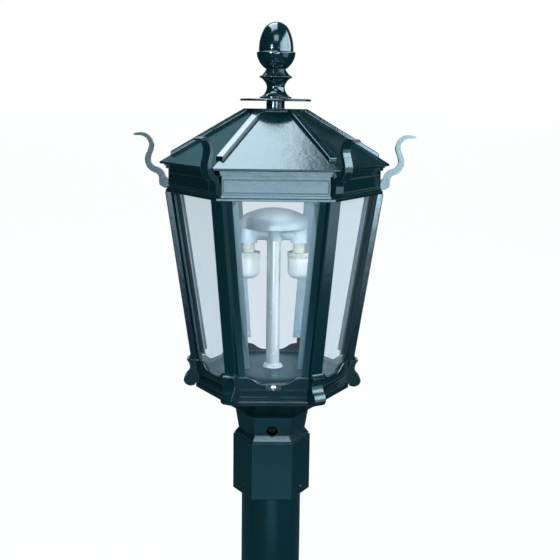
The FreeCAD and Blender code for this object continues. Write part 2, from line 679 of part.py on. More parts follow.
# A foot: the corner block of the base with its pointed bead, hollow and scroll.
def footSolid(turn):
    body = newBody("foot")
    strap = "(%s + strap_proud + foot_clear)"
    behind = "(%s - flange_thick / cos(30) + glass_gap)"
    lipTop = "rail_top + foot_lip"
    outline = [
        ("foot_back", "pan_top"), ("pan_top_corner + 0.4", "pan_top"), ("pan_top_corner + 0.4", "foot_bottom + 1"),
        ("foot_toe", "foot_bottom"), ("foot_scroll", "foot_scroll_level", 92, "left"),
        ("(foot_scroll + foot_hollow) / 2", "(foot_scroll_level + foot_hollow_level) / 2", 37, "left"),
        ("foot_hollow", "foot_hollow_level", 44, "right"), ("foot_point", "rail_top", 50, "right"),
        (strap % frameCorner(lipTop), lipTop, 46, "right"), (strap % frameCorner("rail_top"), "rail_top"),
        (behind % frameCorner("rail_top"), "rail_top"), (behind % frameCorner("pane_seat"), "pane_seat - glass_gap"),
        ("seat_step / cos(30)", "pane_seat - glass_gap"), ("seat_step / cos(30)", "floor_seat"),
        ("foot_back", "floor_seat"),
    ]
    pad(body, newSketch(body, "XZ_Plane", [outline]), "foot_half * 2", symmetric=True)
    return spin(body, turn)


def floorPlate():
    plate = hexPrism("(seat_step - glass_gap) / cos(30)", "floor_seat", "floor_top")
    keep("floor_plate", cut(plate, [rod("riser_radius + fit_gap", "floor_thick + 2", z="floor_seat - 1")]))


# A bar that follows the leaning corner line of the pane frame.
def leaningBar(section, low, high):
    sketch = doc.addObject("Sketcher::SketchObject", "Section")
    tie(sketch, Placement__Base__z=low)
    drawLoop(sketch, section)
    bar = doc.addObject("Part::Extrusion", "Bar")
    bar.Base = sketch
    bar.DirMode = "Custom"
    bar.Solid = True
    shift = "(%s - %s)" % (frameCorner(high), frameCorner(low))
    rise = "(%s - %s)" % (high, low)
    bar.Dir = Vector(0, 0, 1)
    return tie(bar, Dir__x=shift, Dir__z=rise, LengthFwd="sqrt(%s^2 + %s^2)" % (shift, rise))


def screwLevels():
    low = "(retainer_low + trim_screw_inset)"
    high = "(retainer_high - trim_screw_inset)"
    return [low, "((%s + %s) / 2)" % (low, high), high]


# A corner post: a proud strap with a flange along each pane.
def cornerPost(corner, turn):
    low, high = "rail_top", "ring_low"
    at = frameCorner(low)
    face = "(%s + strap_proud)" % at
    brink = "(%s - strap_bevel)" % face
    side = "(%s - foot_half * tan(30))" % at
    lip = "(%s - flange_wide / 2)" % at
    tuck = "(%s - flange_thick * cos(30))" % lip
    section = [
        (face, "-(foot_half - strap_bevel)"), (face, "foot_half - strap_bevel"),
        (brink, "foot_half"), (side, "foot_half"),
        (lip, "flange_wide * cos(30)"), (tuck, "flange_wide * cos(30) - flange_thick / 2"),
        ("(%s - flange_thick / cos(30))" % at, "0"),
        (tuck, "-(flange_wide * cos(30) - flange_thick / 2)"), (lip, "-flange_wide * cos(30)"),
        (side, "-foot_half"), (brink, "-foot_half"),
    ]
    bar = leaningBar(section, low, high)
    holes = [rod("trim_screw + fit_gap", "10 + trim_bite + fit_gap", "%s - 10" % frameCorner(level), "0", level,
                 Vector(1, 0, 0)) for level in screwLevels()]
    keep("corner_post_" + corner, cut(bar, holes), turn)


# A pane: a leaning slab of glass behind the flanges, on the rail's ledge.
def glassPane(face, turn):
    pane = doc.addObject("Part::Wedge", "Pane")
    low, high = "pane_seat", "(ring_low - glass_gap)"
    inset = "((flange_thick + glass_thick) * tan(30) + glass_edge)"
    for level, mark in ((low, ""), (high, "2")):
        half = "(%s / 2 - %s)" % (frameCorner(level), inset)
        tie(pane, **{"X%smin" % mark: "-" + half, "X%smax" % mark: half,
                     "Z%smin" % mark: "%s - glass_thick" % glassFace(level), "Z%smax" % mark: glassFace(level)})
    tie(pane, Ymin=low, Ymax=high)
    keep("glass_pane_" + face, group([pane]), turn)
    pane.Placement = Placement(Vector(), Rotation(Vector(1, 0, 0), 90))


# A retainer: a bent strip in the corner behind two panes.
def retainerSolid(turn):
    low, high = "retainer_low", "retainer_high"
    outer = "(%s - (flange_thick + glass_thick) / cos(30))" % frameCorner(low)
    thick = "retainer_thick"
    tip = "(%s - retainer_reach / 2)" % outer
    section = [
        (outer, "0"), (tip, "retainer_reach * cos(30)"),
        ("(%s - %s * cos(30))" % (tip, thick), "retainer_reach * cos(30) - %s / 2" % thick),
        ("(%s - %s / cos(30))" % (outer, thick), "0"),
        ("(%s - %s * cos(30))" % (tip, thick), "-(retainer_reach * cos(30) - %s / 2)" % thick),
        (tip, "-retainer_reach * cos(30)"),
    ]
    bar = leaningBar(section, low, high)
    holes = [rod("trim_screw + fit_gap", "14", "%s - 16" % frameCorner(level), "0", level, Vector(1, 0, 0))
             for level in screwLevels()]
    return spin(cut(bar, holes), turn)


def retainerScrews():
    screws = []
    for turn in range(0, 360, STEP):
        for level in screwLevels():
            apex = "(%s - (flange_thick + glass_thick + retainer_thick) / cos(30))" % frameCorner(level)
            seat = "(%s - trim_head * tan(30))" % apex
            shank = radialRod(turn, "trim_screw", seat, frameCorner(level) + " + trim_bite", level)
            head = radialRod(turn, "trim_head", seat + " - trim_head_height", seat, level)
            slot = radialRod(turn, "trim_head / 3", seat + " - trim_head_height - 1",
                             seat + " - trim_head_height / 2", level)
            screws.append(cut(join([shank, head]), [slot]))
    keep("retainer_screws", group(screws))


# The cage ring on the posts' tops, with the fixed knuckle of the roof hinge at the back.
def cageRing():
    plate = hexPrism("ring_corner", "ring_low", "ring_top")
    lug = block(("-knuckle_half", "knuckle_half"), ("ring_corner * cos(30) - 4", "hinge_back"), ("ring_low", "ring_top"))
    knuckle = rod("knuckle_radius", "knuckle_half * 2", "-knuckle_half", "hinge_back", "hinge_level", Vector(1, 0, 0))
    holes = [hexPrism("ring_hole", "ring_low - 1", "ring_top + 1"),
             rod("pin_radius + fit_gap", "knuckle_half * 2 + 2", "-knuckle_half - 1", "hinge_back", "hinge_level",
                 Vector(1, 0, 0))]
    keep("cage_ring", cut(join([plate, lug, knuckle]), holes))


# The hinge's moving leaf on the frieze's back face.
def hingeLeaf():
    wall = "(frieze_corner * cos(30))"
    out = "(low_mould_corner * cos(30) + 0.3)"
    plate = block(("-hinge_half", "hinge_half"), (wall, wall + " + leaf_thick"), ("leaf_low - 2", "leaf_top"))
    joggle = block(("-hinge_half", "hinge_half"), (out, out + " + leaf_thick"), ("hinge_level", "leaf_low"))
    knuckle = rod("knuckle_radius", "hinge_half * 2", "-hinge_half", "hinge_back", "hinge_level", Vector(1, 0, 0))
    gap = "(knuckle_half + knuckle_gap)"
    holes = [block(("-" + gap, gap), (wall + " - 1", "hinge_back + 20"),
                   ("hinge_level - 10", "hinge_level + knuckle_radius + knuckle_gap")),
             rod("pin_radius + fit_gap", "hinge_half * 2 + 2", "-hinge_half - 1", "hinge_back", "hinge_level",
                 Vector(1, 0, 0))]
    for sign in ("-", ""):
        holes.append(rod("trim_screw + fit_gap", "leaf_thick + 2", sign + "leaf_screw_half", wall + " - 1",
                         "leaf_screw_level", Vector(0, 1, 0)))
    keep("hinge_leaf", cut(join([plate, joggle, knuckle]), holes))


def hingePin():
    along = Vector(1, 0, 0)
    end = "(hinge_half + knuckle_gap)"
    pin = rod("pin_radius", end + " * 2", "-" + end, "hinge_back", "hinge_level", along)
    heads = [rod("pin_head", "pin_head_thick", "-%s - pin_head_thick" % end, "hinge_back", "hinge_level", along),
             rod("pin_head", "pin_head_thick", end, "hinge_back", "hinge_level", along)]
    keep("hinge_pin", join([pin] + heads))


def leafScrews():
    wall = "(frieze_corner * cos(30))"
    back = Vector(0, 1, 0)
    screws = []
    for sign in ("-", ""):
        x = sign + "leaf_screw_half"
        shank = rod("trim_screw", "leaf_thick + 4", x, wall + " - 4", "leaf_screw_level", back)
        head = rod("trim_head", "trim_head_height", x, wall + " + leaf_thick", "leaf_screw_level", back)
        slot = rod("trim_head / 3", "trim_head_height", x, wall + " + leaf_thick + trim_head_height / 2",
                   "leaf_screw_level", back)
        screws.append(cut(join([shank, head]), [slot]))
    keep("hinge_leaf_screws", group(screws))


# The frieze: a hexagonal band with mouldings, panels, and a flat seat for a horn on each corner.
def friezeBand():
    outside = join([hexPrism("frieze_corner", "roof_low", "frieze_top"),
                    hexPrism("low_mould_corner", "roof_low", "low_mould_top"),
                    hexPrism("cornice_corner", "cornice_low", "frieze_top"),
                    hexPrism("soffit_corner", "soffit_low", "frieze_top")])
    inner = "(frieze_corner - frieze_wall / cos(30))"
    holes = [hexPrism(inner, "roof_low - 1", "frieze_top + 1")]
    face = "(frieze_corner * cos(30))"
    for turn in range(0, 360, STEP):
        seat = block(("horn_seat", "soffit_corner + 2"), ("-horn_half - fit_gap", "horn_half + fit_gap"),
                     ("roof_low - 1", "frieze_top + 1"))
        holes.append(spinAbout(seat, turn))
        frame = cut(block(("-panel_half", "panel_half"), ("-" + face, "-(%s - panel_depth)" % face),
                          ("panel_low", "panel_high")),
                    [block(("-(panel_half - panel_groove)", "panel_half - panel_groove"),
                           ("-%s - 1" % face, "-(%s - panel_depth) + 1" % face),
                           ("panel_low + panel_groove", "panel_high - panel_groove"))])
        holes.append(spin(frame, turn))
        holes.append(radialRod(turn, "trim_screw + fit_gap", inner + " - 4", "horn_seat + 1", "horn_screw_level"))
    for sign in ("-", ""):
        holes.append(rod("trim_screw + fit_gap", "5", sign + "leaf_screw_half", face + " - 4", "leaf_screw_level",
                         Vector(0, 1, 0)))
    keep("frieze_band", cut(outside, holes))


def spinAbout(thing, turn):
    """Turn a block about the axis by wrapping it, so that its own place stays bound."""
    return spin(group([thing]), turn)


# The roof: a hexagonal pyramid shell with an upright eave edge and a flue opening.
def roofOutside():
    return hexStack([("eave_corner", "frieze_top"), ("eave_corner", "roof_knee"),
                     ("roof_top_corner", "roof_top")])


def roofShell():
    drop = "(roof_wall * sqrt(1 + (roof_slope / cos(30))^2))"
    lip = "(frieze_corner - frieze_wall / cos(30))"
    lipLevel = "(roof_knee + (eave_corner - %s) * roof_slope - %s)" % (lip, drop)
    topLevel = "(roof_top - roof_wall)"
    topCorner = "(roof_top_corner + (roof_wall - %s) / roof_slope)" % drop
    inside = hexStack([(lip, "frieze_top - 1"), (lip, lipLevel), (topCorner, topLevel)])
    keep("roof_shell", cut(roofOutside(), [join([inside, rod("flue_radius", "20", z="roof_top - 15")])]))


def roofCap():
    plate = hexPrism("roof_top_corner", "roof_top", "cap_top")
    holes = [rod("stud_radius + fit_gap", "cap_thick + 2", z="roof_top - 1")]
    for angle in range(0, 360, STEP):
        x, y = ["vent_circle * %s" % part for part in polar(angle)[1:]]
        holes.append(rod("vent_radius", "cap_thick + 2", x, y, "roof_top - 1"))
    keep("roof_cap", cut(plate, holes))


# Six ribs along the hips, cut to sit on the roof and against the cap plate.
def hipRibs():
    hip = "(roof_knee + (eave_corner - (%s)) * roof_slope"
    crown = "(roof_top_corner + (rib_proud - cap_thick) / roof_slope)"
    ribs = []
    for turn in range(0, 360, STEP):
        body = newBody("rib")
        start, end = "(roof_top_corner - 8)", "rib_end"
        outline = [(start, "cap_top"), (start, "roof_top - 12"), (end, hip % end + " - 8)"),
                   (end, hip % end + " + rib_proud)"), (crown, "cap_top")]
        pad(body, newSketch(body, "XZ_Plane", [outline]), "rib_half * 2", symmetric=True)
        tools = join([roofOutside(), hexPrism("roof_top_corner", "roof_top - 1", "cap_top + 1")])
        ribs.append(spinAbout(cut(body, [tools]), turn))
    keep("hip_ribs", group(ribs))


# A horn: a flat strap that rises from the frieze, passes the eave and scrolls outwards.
# The middle of the strap is a run of straight parts and bends, given as (length or radius,
# turn in degrees).
def hornPath():
    """Points, headings and run length along the middle of the strap."""
    point = Vector(size("horn_seat + horn_foot_set"), size("horn_foot_low + horn_foot_toe"), 0)
    heading = math.radians(HORN_FOOT_LEAN)
    path = [(point, heading, 0.0)]
    for length, turn in [("horn_foot_run", 0), ("horn_heel_radius", -HORN_HEEL_TURN),
                         ("horn_belly_radius", HORN_BELLY_TURN), ("horn_waist_run", 0),
                         ("horn_crest_radius", -HORN_CREST_TURN), ("horn_tip_run", 0)]:
        reach = size(length) * (math.radians(abs(turn)) if turn else 1)
        steps = max(1, round(abs(turn) / 18))
        for _ in range(steps):
            after = heading + math.radians(turn) / steps
            middle = (heading + after) / 2
            bend = math.radians(abs(turn)) / steps / 2
            chord = reach / steps * (math.sin(bend) / bend if turn else 1)
            point = point + Vector(math.cos(middle), math.sin(middle), 0) * chord
            heading = after
            path.append((point, heading, path[-1][2] + reach / steps))
    return path


def hornSolid():
    path = hornPath()
    length = path[-1][2]
    thick, thin = size("horn_thick") / 2, size("horn_tip_thick") / 2
    depth = size("horn_half")
    seat, low = size("horn_seat"), size("horn_foot_low")
    back = low + size("horn_foot_back")
    outer, inner = [], []
    for point, heading, run in path:
        half = thin + (thick - thin) * (1 - run / length) ** 0.55
        side = Vector(math.sin(heading), -math.cos(heading), 0) * half
        outer.append(Vector(point.x + side.x, -depth, point.y + side.y))
        # the foot's back is flat on the frieze, so the inner side starts above it
        if point.y - side.y > back + size("horn_foot_clear"):
            inner.append(Vector(point.x - side.x, -depth, point.y - side.y))
    curves = []
    for points in (outer, inner):
        curve = Part.BSplineCurve()
        curve.interpolate(points)
        curves.append(curve.toShape())
    toe = [outer[0], Vector(seat + size("horn_toe_wide"), -depth, low), Vector(seat, -depth, low),
           Vector(seat, -depth, back), inner[0]]
    edges = [Part.makeLine(toe[i], toe[i + 1]) for i in range(len(toe) - 1)]
    edges.append(Part.makeLine(outer[-1], inner[-1]))
    wire = Part.Wire(Part.__sortEdges__(edges + curves))
    solid = Part.Face(wire).extrude(Vector(0, 2 * depth, 0))
    hole = Part.makeCylinder(size("trim_screw + fit_gap"), size("horn_screw_bite + 1.5"),
                             Vector(seat - 1, 0, size("horn_screw_level")), Vector(1, 0, 0))
    return solid.cut(hole)


def cornerHorns():
    solid = hornSolid()
    horns = []
    for turn in range(0, 360, STEP):
        copy = solid.copy()
        copy.rotate(Vector(), UP, turn)
        horns.append(copy)
    feature = doc.addObject("Part::Feature", "Horns")
    feature.Shape = Part.makeCompound(horns)
    keep("corner_horns", feature)


def hornScrews():
    screws = []
    apex = "(frieze_corner - frieze_wall / cos(30))"
    seat = "(%s - trim_head * tan(30))" % apex
    for turn in range(0, 360, STEP):
        shank = radialRod(turn, "trim_screw", seat, "horn_seat + horn_screw_bite", "horn_screw_level")
        head = radialRod(turn, "trim_head", seat + " - trim_head_height", seat, "horn_screw_level")
        slot = radialRod(turn, "trim_head / 3", seat + " - trim_head_height - 1",
                         seat + " - trim_head_height / 2", "horn_screw_level")
        screws.append(cut(join([shank, head]), [slot]))
    keep("horn_screws", group(screws))


# Drip disc, spacer, stud and finial over the roof.
def crownPieces():
    hole = "(stud_radius + fit_gap)"
    turned("disc_spacer", [(hole, "cap_top"), ("spacer_radius", "cap_top"), ("spacer_radius", "disc_low"),
                           (hole, "disc_low")])
    turned("drip_disc", [(hole, "disc_low"), ("disc_radius - 1", "disc_low"), ("disc_radius", "disc_low + 0.6"),
                         ("disc_radius", "disc_low + disc_edge"), ("finial_foot + 1", "disc_top"),
                         (hole, "disc_top")])
    turned("finial_stud", [("0", "roof_top - stud_tail"), ("stud_radius", "roof_top - stud_tail"),
                           ("stud_radius", "disc_top + stud_bite"), ("0", "disc_top + stud_bite")])
    nut = hexPrism("nut_corner", "roof_top - nut_height", "roof_top")
    keep("finial_nut", cut(nut, [rod(hole, "nut_height + 2", z="roof_top - nut_height - 1")]))


def finial():
    base = "disc_top"
    height = "(finial_rise - finial_shoulder_rise)"
    crown = "(finial_shoulder^2 + %s^2) / (2 * %s)" % (height, height)
    turned("finial", [
        ("stud_radius + fit_gap", base), ("finial_foot", base), ("finial_foot", base + " + finial_foot_edge"),
        ("finial_neck", base + " + finial_neck_rise", 73, "right"),
        ("finial_ring", base + " + finial_ring_rise", 54, "right"),
        ("finial_waist", base + " + finial_waist_rise", 37, "right"),
        ("finial_cup", base + " + finial_cup_rise", 52, "left"),
        ("finial_cup - finial_lip", base + " + finial_cup_rise + finial_lip"),
        ("finial_egg", base + " + finial_cup_rise + finial_lip"),
        ("finial_shoulder", base + " + finial_shoulder_rise", 30, "left"),
        ("0", base + " + finial_rise", crown, "left"),
        ("0", base + " + stud_bite + 1"), ("stud_radius + fit_gap", base + " + stud_bite + 1"),
    ])


# The pane button in the front rail's dip, with its pivot screw.
def paneButton():
    front = Vector(0, -1, 0)
    inner = "(rail_face + side_gap)"
    outer = "(%s + button_thick)" % inner
    end = "(button_half - button_wide)"
    plate = block(("-" + end, end), ("-" + outer, "-" + inner),
                  ("button_level - button_wide", "button_level + button_wide"))
    rounds = [rod("button_wide", "button_thick", sign + end, "-" + inner, "button_level", front)
              for sign in ("-", "")]
    grips = [block((sign % " - 0.8", sign % " + 0.8"), ("-(%s + button_grip)" % outer, "-" + inner),
                   ("button_level - button_wide + 0.5", "button_level + button_wide - 0.5"))
             for sign in (end + "%s", "-" + end + "%s")]
    hole = rod("trim_screw + fit_gap", "button_thick + 2", "0", "-(%s - 1)" % inner, "button_level", front)
    keep("pane_button", cut(join([plate] + rounds + grips), [hole]))
    seat = "(%s + side_gap)" % outer
    back = "(seat_step + button_bite)"
    shank = rod("trim_screw", "%s - %s" % (seat, back), "0", "-" + back, "button_level", front)
    head = rod("trim_head", "trim_head_height", "0", "-" + seat, "button_level", front)
    slot = rod("trim_head / 3", "trim_head_height", "0", "-(%s + trim_head_height / 2)" % seat, "button_level",
               front)
    keep("pane_button_screw", cut(join([shank, head]), [slot]))


# The gas cock in the neck: body, jet, gland nut and the key that turns in it.
def gasCock():
    front = Vector(0, -1, 0)
    bore = "(plug_radius + fit_gap)"
    body = join([rod("valve_radius", "valve_high - valve_low", z="valve_low"),
                 rod("boss_radius", "boss_reach", z="valve_level", along=front)])
    holes = [rod("inlet_radius", "inlet_depth + 1", z="valve_low - 1"),
             rod("plug_port", "riser_low - valve_low", z="valve_low + 1"),
             rod("riser_radius + fit_gap", "valve_high", z="riser_low"),
             rod(bore, "plug_back + boss_reach + 1", "0", "plug_back", "valve_level", front)]
    keep("gas_cock_body", cut(body, [join(holes)]))
    gland = doc.addObject("Part::Prism", "Gland")
    gland.Polygon = 6
    gland.Placement = Placement(Vector(), Rotation(UP, front))
    tie(gland, Circumradius="gland_corner", Height="gland_thick", Placement__Base__y="-boss_reach",
        Placement__Base__z="valve_level")
    keep("gas_cock_gland", cut(gland, [rod(bore, "gland_thick + 2", "0", "-(boss_reach - 1)", "valve_level",
                                           front)]))
    headBack = "(boss_reach + gland_thick + side_gap)"
    key = join([rod("plug_radius", "%s + plug_back - side_gap" % headBack, "0", "plug_back - side_gap",
                    "valve_level", front),
                rod("key_head", "key_head_thick", "0", "-" + headBack, "valve_level", front)])
    slot = block(("-key_head", "key_head"), ("-(%s + key_head_thick + 1)" % headBack,
                                             "-(%s + key_head_thick / 2)" % headBack),
                 ("valve_level - key_slot / 2", "valve_level + key_slot / 2"))
    port = rod("plug_port", "plug_radius * 3", z="valve_level - plug_radius * 1.5")
    keep("gas_cock_key", cut(key, [slot, port]))
    inner = "(riser_radius - riser_wall - fit_gap)"
    turned("gas_jet", [("jet_hole", "riser_low"), (inner, "riser_low"), (inner, "riser_low + jet_height"),
                       ("jet_hole", "riser_low + jet_height")])


# Riser pipe with its two nuts, and the burner on top of it.
def riser():
    hole = "(riser_radius - riser_wall)"
    turned("gas_riser", [(hole, "riser_low"), ("riser_radius", "riser_low"), ("riser_radius", "riser_top"),
                         (hole, "riser_top")])
    hole = "(riser_radius + fit_gap)"
    turned("riser_flange", [(hole, "floor_top"), ("flange_radius", "floor_top"),
                            ("flange_radius", "floor_top + 1"),
                            ("riser_radius + 2", "floor_top + flange_height"),
                            (hole, "floor_top + flange_height")])
    nut = hexPrism("locknut_corner", "floor_seat - locknut_height", "floor_seat")
    keep("riser_locknut", cut(nut, [rod(hole, "locknut_height + 2", z="floor_seat - locknut_height - 1")]))


def burnerManifold():
    across = Vector(1, 0, 0)
    hubTop = "(dome_top - dome_wall)"
    solids = [rod("hub_radius", hubTop + " - hub_low", z="hub_low"),
              rod("arm_radius", "burner_spread * 2", "-burner_spread", "0", "arm_level", across)]
    boreLevel = "(riser_top + arm_bore + 1)"
    chamberTop = "(riser_top + arm_bore * 2 + 2)"
    holes = [rod("riser_radius + fit_gap", "riser_top - hub_low + 1", z="hub_low - 1"),
             rod("riser_radius - riser_wall", chamberTop + " - riser_top + 1", z="riser_top - 1"),
             rod("arm_bore", "burner_spread * 2", "-burner_spread", "0", boreLevel, across)]
    for sign in ("-", ""):
        solids.append(rod("cup_radius", "cup_high - cup_low", sign + "burner_spread", "0", "cup_low"))
        holes.append(rod("nozzle_radius + fit_gap", "nozzle_high - cup_low + 1", sign + "burner_spread", "0",
                         "cup_low - 1"))
        holes.append(rod("nozzle_bore", chamberTop + " - cup_low", sign + "burner_spread", "0", "cup_low"))
    keep("burner_manifold", cut(join(solids), [join(holes)]))


def burnerTips():
    nozzles, rings = [], []
    for sign, firstLug in (("-", 90), ("", 0)):
        x = sign + "burner_spread"
        nozzle = rod("nozzle_radius", "nozzle_high - nozzle_low", x, "0", "nozzle_low")
        nozzles.append(cut(nozzle, [rod("nozzle_bore", "nozzle_high", x, "0", "nozzle_low - 1")]))
        solids = [rod("collarette_radius", "collarette_thick", x, "0", "collarette_low")]
        for angle in range(firstLug, firstLug + 360, 120):
            cosine, sine = polar(angle)[1:]
            solids.append(rod("lug_radius", "collarette_thick / 2",
                              "%s + (collarette_lug - lug_radius) * %s" % (x, cosine),
                              "(collarette_lug - lug_radius) * %s" % sine,
                              "collarette_low + collarette_thick / 2"))
        bore = rod("nozzle_radius + fit_gap", "collarette_thick + 2", x, "0", "collarette_low - 1")
        rings.append(cut(join(solids), [bore]))
    keep("burner_nozzles", group(nozzles))
    keep("mantle_rings", group(rings))


def mantle(side, sign):
    body = newBody("mantle")
    inner = "(mantle_radius - mantle_wall)"
    revolve(body, [
        ("0", "mantle_low"), ("mantle_radius - mantle_round", "mantle_low"),
        ("mantle_radius", "mantle_low + mantle_round", 90, "left"), ("mantle_radius", "collarette_low"),
        (inner, "collarette_low"), (inner, "mantle_low + mantle_round"),
        ("mantle_radius - mantle_round", "mantle_low + mantle_wall", 90, "right"),
        ("0", "mantle_low + mantle_wall"),
    ])
    keep("mantle_" + side, body)
    body.Placement = Placement()
    tie(body, Placement__Base__x=sign + "burner_spread")


def burnerDome():
    skirt = "(dome_rim + dome_skirt)"
    inner = "(dome_radius - dome_wall)"
    innerTop = "(dome_top - dome_wall)"
    turned("burner_dome", [
        (inner, "dome_rim"), ("dome_radius", "dome_rim"), ("dome_radius", skirt),
        ("dome_shoulder", "dome_shoulder_level", 41, "left"),
        ("dome_land", "dome_top", 25, "left"), ("0", "dome_top"), ("0", innerTop), ("dome_land", innerTop),
        ("dome_shoulder - dome_wall * 0.6", "dome_shoulder_level - dome_wall * 0.8", 25, "right"),
        (inner, skirt, 41, "right"),
    ])


postCollar()
setScrews()
verticalScrews("collar_screws", "collar_screw_circle", "(collar_socket + small_head_height)",
               "collar_height + screw_bite - collar_socket - small_head_height", headUp=False)
neck()
basePan()
verticalScrews("pan_bolts", "pan_bolt_circle", "(neck_top_level + pan_wall)",
               "screw_bite + pan_wall", headUp=True)
for index, face in enumerate(FACES):
    baseRail(face, index * STEP)
    glassPane(face, index * STEP)
for index, corner in enumerate(CORNERS):
    cornerPost(corner, index * STEP)
keep("post_feet", group([footSolid(turn) for turn in range(0, 360, STEP)]))
keep("pane_retainers", group([retainerSolid(turn) for turn in range(0, 360, STEP)]))
retainerScrews()
floorPlate()
cageRing()
hingeLeaf()
hingePin()
leafScrews()
friezeBand()
roofShell()
roofCap()
hipRibs()
cornerHorns()
hornScrews()
crownPieces()
finial()
paneButton()
gasCock()
riser()
burnerManifold()
burnerTips()
mantle("left", "-")
mantle("right", "")
burnerDome()
doc.recompute()

faults = [thing.Label for thing in doc.Objects if "Invalid" in thing.State or "Error" in thing.State]
for name, thing in parts.items():
    if thing.Shape.isNull() or not thing.Shape.isValid() or not thing.Shape.Solids:
        faults.append(name)
if faults:
    raise SystemExit("failed: , ".join(faults))

os.makedirs("parts", exist_ok=True)
for name, thing in parts.items():
    thing.Shape.exportStep("parts/%s.step" % name)
print("wrote %d parts" % len(parts))
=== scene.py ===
import json
import math
import random

import bmesh
import bpy
from mathutils import Euler, Matrix, Vector


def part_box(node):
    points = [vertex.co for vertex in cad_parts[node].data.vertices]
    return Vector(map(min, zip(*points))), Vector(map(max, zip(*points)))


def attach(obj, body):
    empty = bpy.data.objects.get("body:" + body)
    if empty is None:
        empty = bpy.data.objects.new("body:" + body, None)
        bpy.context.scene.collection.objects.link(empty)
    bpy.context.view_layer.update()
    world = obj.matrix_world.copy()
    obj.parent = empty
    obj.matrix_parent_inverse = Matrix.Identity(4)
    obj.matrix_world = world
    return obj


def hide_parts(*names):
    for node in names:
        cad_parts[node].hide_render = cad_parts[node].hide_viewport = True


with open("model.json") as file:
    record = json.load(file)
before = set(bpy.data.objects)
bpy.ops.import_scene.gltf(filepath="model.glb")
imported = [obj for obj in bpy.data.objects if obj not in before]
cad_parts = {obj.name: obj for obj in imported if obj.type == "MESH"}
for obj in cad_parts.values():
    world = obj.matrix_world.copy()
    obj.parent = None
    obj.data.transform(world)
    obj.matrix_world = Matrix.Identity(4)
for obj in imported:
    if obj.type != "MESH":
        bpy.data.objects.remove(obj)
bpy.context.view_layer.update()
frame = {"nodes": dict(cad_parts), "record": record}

scene = bpy.context.scene
slots = {row["node"]: row["material_slot"] for row in frame["record"]["subparts"]}
bodies = {}
for body, members in frame["record"]["behaviour"]["bodies"].items():
    for member in members:
        bodies[member] = body
print("frame loaded,", len(frame["nodes"]), "nodes")


view = {"place": (-0.0196, -1.2458, 0.4968), "heading": 1.28, "pitch": 10.08, "roll": 0.74, "lens": 64.67,
        "sensor": 36, "near": 0.05}


def placeCamera():
    camera = bpy.data.objects.new("camera", bpy.data.cameras.new("camera"))
    scene.collection.objects.link(camera)
    camera.data.lens = view["lens"]
    camera.data.sensor_width = view["sensor"]
    camera.data.clip_start = view["near"]
    turn = Euler((math.radians(90 - view["pitch"]), 0, math.radians(-view["heading"])))
    camera.matrix_world = (Matrix.Translation(view["place"]) @ turn.to_matrix().to_4x4()
                           @ Matrix.Rotation(math.radians(view["roll"]), 4, "Z"))
    scene.camera = camera
    scene.view_settings.view_transform = "Standard"


placeCamera()
print("camera placed")

# lamps: where they stand, what they point at, width and height in metres, and power in watts
lampColour = (0.92, 0.97, 1.0)
lamps = {
    "overhead": {"place": (-0.50, 0.20, 2.2), "aim": (-0.50, 0.20, 0), "size": (1.24, 2.6), "power": 76},
    "frontCard": {"place": (0.03, -2.4, 0.08), "aim": (0.03, 0, 0.08), "size": (0.6, 0.46), "power": 5.6},
    "frontHigh": {"place": (0.0, -1.04, 1.20), "aim": (0, 0, 0.07), "size": (0.6, 0.36), "power": 3.4},
    "frontFloor": {"place": (0.03, -0.90, -0.33), "aim": (0.03, -0.90, 0), "size": (0.5, 0.5), "power": 0.35,
                   "colour": (0.35, 0.86, 1.0)},
    "hornCard": {"place": (-0.50, -2.4, 0.36), "aim": (-0.50, 0, 0.36), "size": (0.40, 0.60), "power": 2},
    "rightPanel": {"place": (1.4, -1.10, 1.06), "aim": (0, -1.10, 1.06), "size": (3.3, 0.88), "power": 62},
    "rightFront": {"place": (1.39, -0.80, 0.58), "aim": (0, 0, 0.58), "size": (1.0, 1.8), "power": 8.5},
    "leftBack": {"place": (-0.82, 1.9, 1.64), "aim": (-0.1, 0, 0.45), "size": (1.0, 0.8), "power": 1.1,
                 "colour": (0.42, 0.88, 1.0)},
    "leftKey": {"place": (-1.15, -1.95, 0.62), "aim": (0, 0, 0.33), "size": (0.20, 0.6), "power": 34},
    "rightKey": {"place": (0.58, -2.20, 0.40), "aim": (0, 0, 0.33), "size": (0.46, 0.60), "power": 12},
    "hoodFill": {"place": (0, -0.015, 0.43), "aim": (0, -0.005, 0.30), "size": (0.09, 0.09), "power": 0.045},
}


def hangLamps():
    for name, look in lamps.items():
        light = bpy.data.lights.new(name, "AREA")
        light.shape = "RECTANGLE"
        light.size, light.size_y = look["size"]
        light.energy = look["power"]
        light.color = look.get("colour", lampColour)
        lamp = bpy.data.objects.new(name, light)
        lamp.visible_camera = False
        scene.collection.objects.link(lamp)
        away = Vector(look["place"]) - Vector(look["aim"])
        turn = away.to_track_quat("Z", "Y").to_matrix().to_4x4()
        lamp.matrix_world = Matrix.Translation(look["place"]) @ turn


hangLamps()
print("lamps hung,", len(lamps))


# A wire is one output of a node. Sums and products with it add Math nodes to its tree.
class Wire:
    def __init__(self, graph, socket):
        self.graph = graph
        self.socket = socket

    def work(self, operation, first, second):
        return self.graph.add("ShaderNodeMath", {"operation": operation}, {0: first, 1: second})

    def __add__(self, other):
        return self.work("ADD", self, other)

    def __radd__(self, other):
        return self.work("ADD", other, self)

    def __sub__(self, other):
        return self.work("SUBTRACT", self, other)

    def __rsub__(self, other):
        return self.work("SUBTRACT", other, self)

    def __mul__(self, other):
        return self.work("MULTIPLY", self, other)

    def __rmul__(self, other):
        return self.work("MULTIPLY", other, self)

    def __truediv__(self, other):
        return self.work("DIVIDE", self, other)

    def __pow__(self, other):
        return self.work("POWER", self, other)

    def clamped(self):
        return self.graph.add("ShaderNodeClamp", None, {"Value": self})


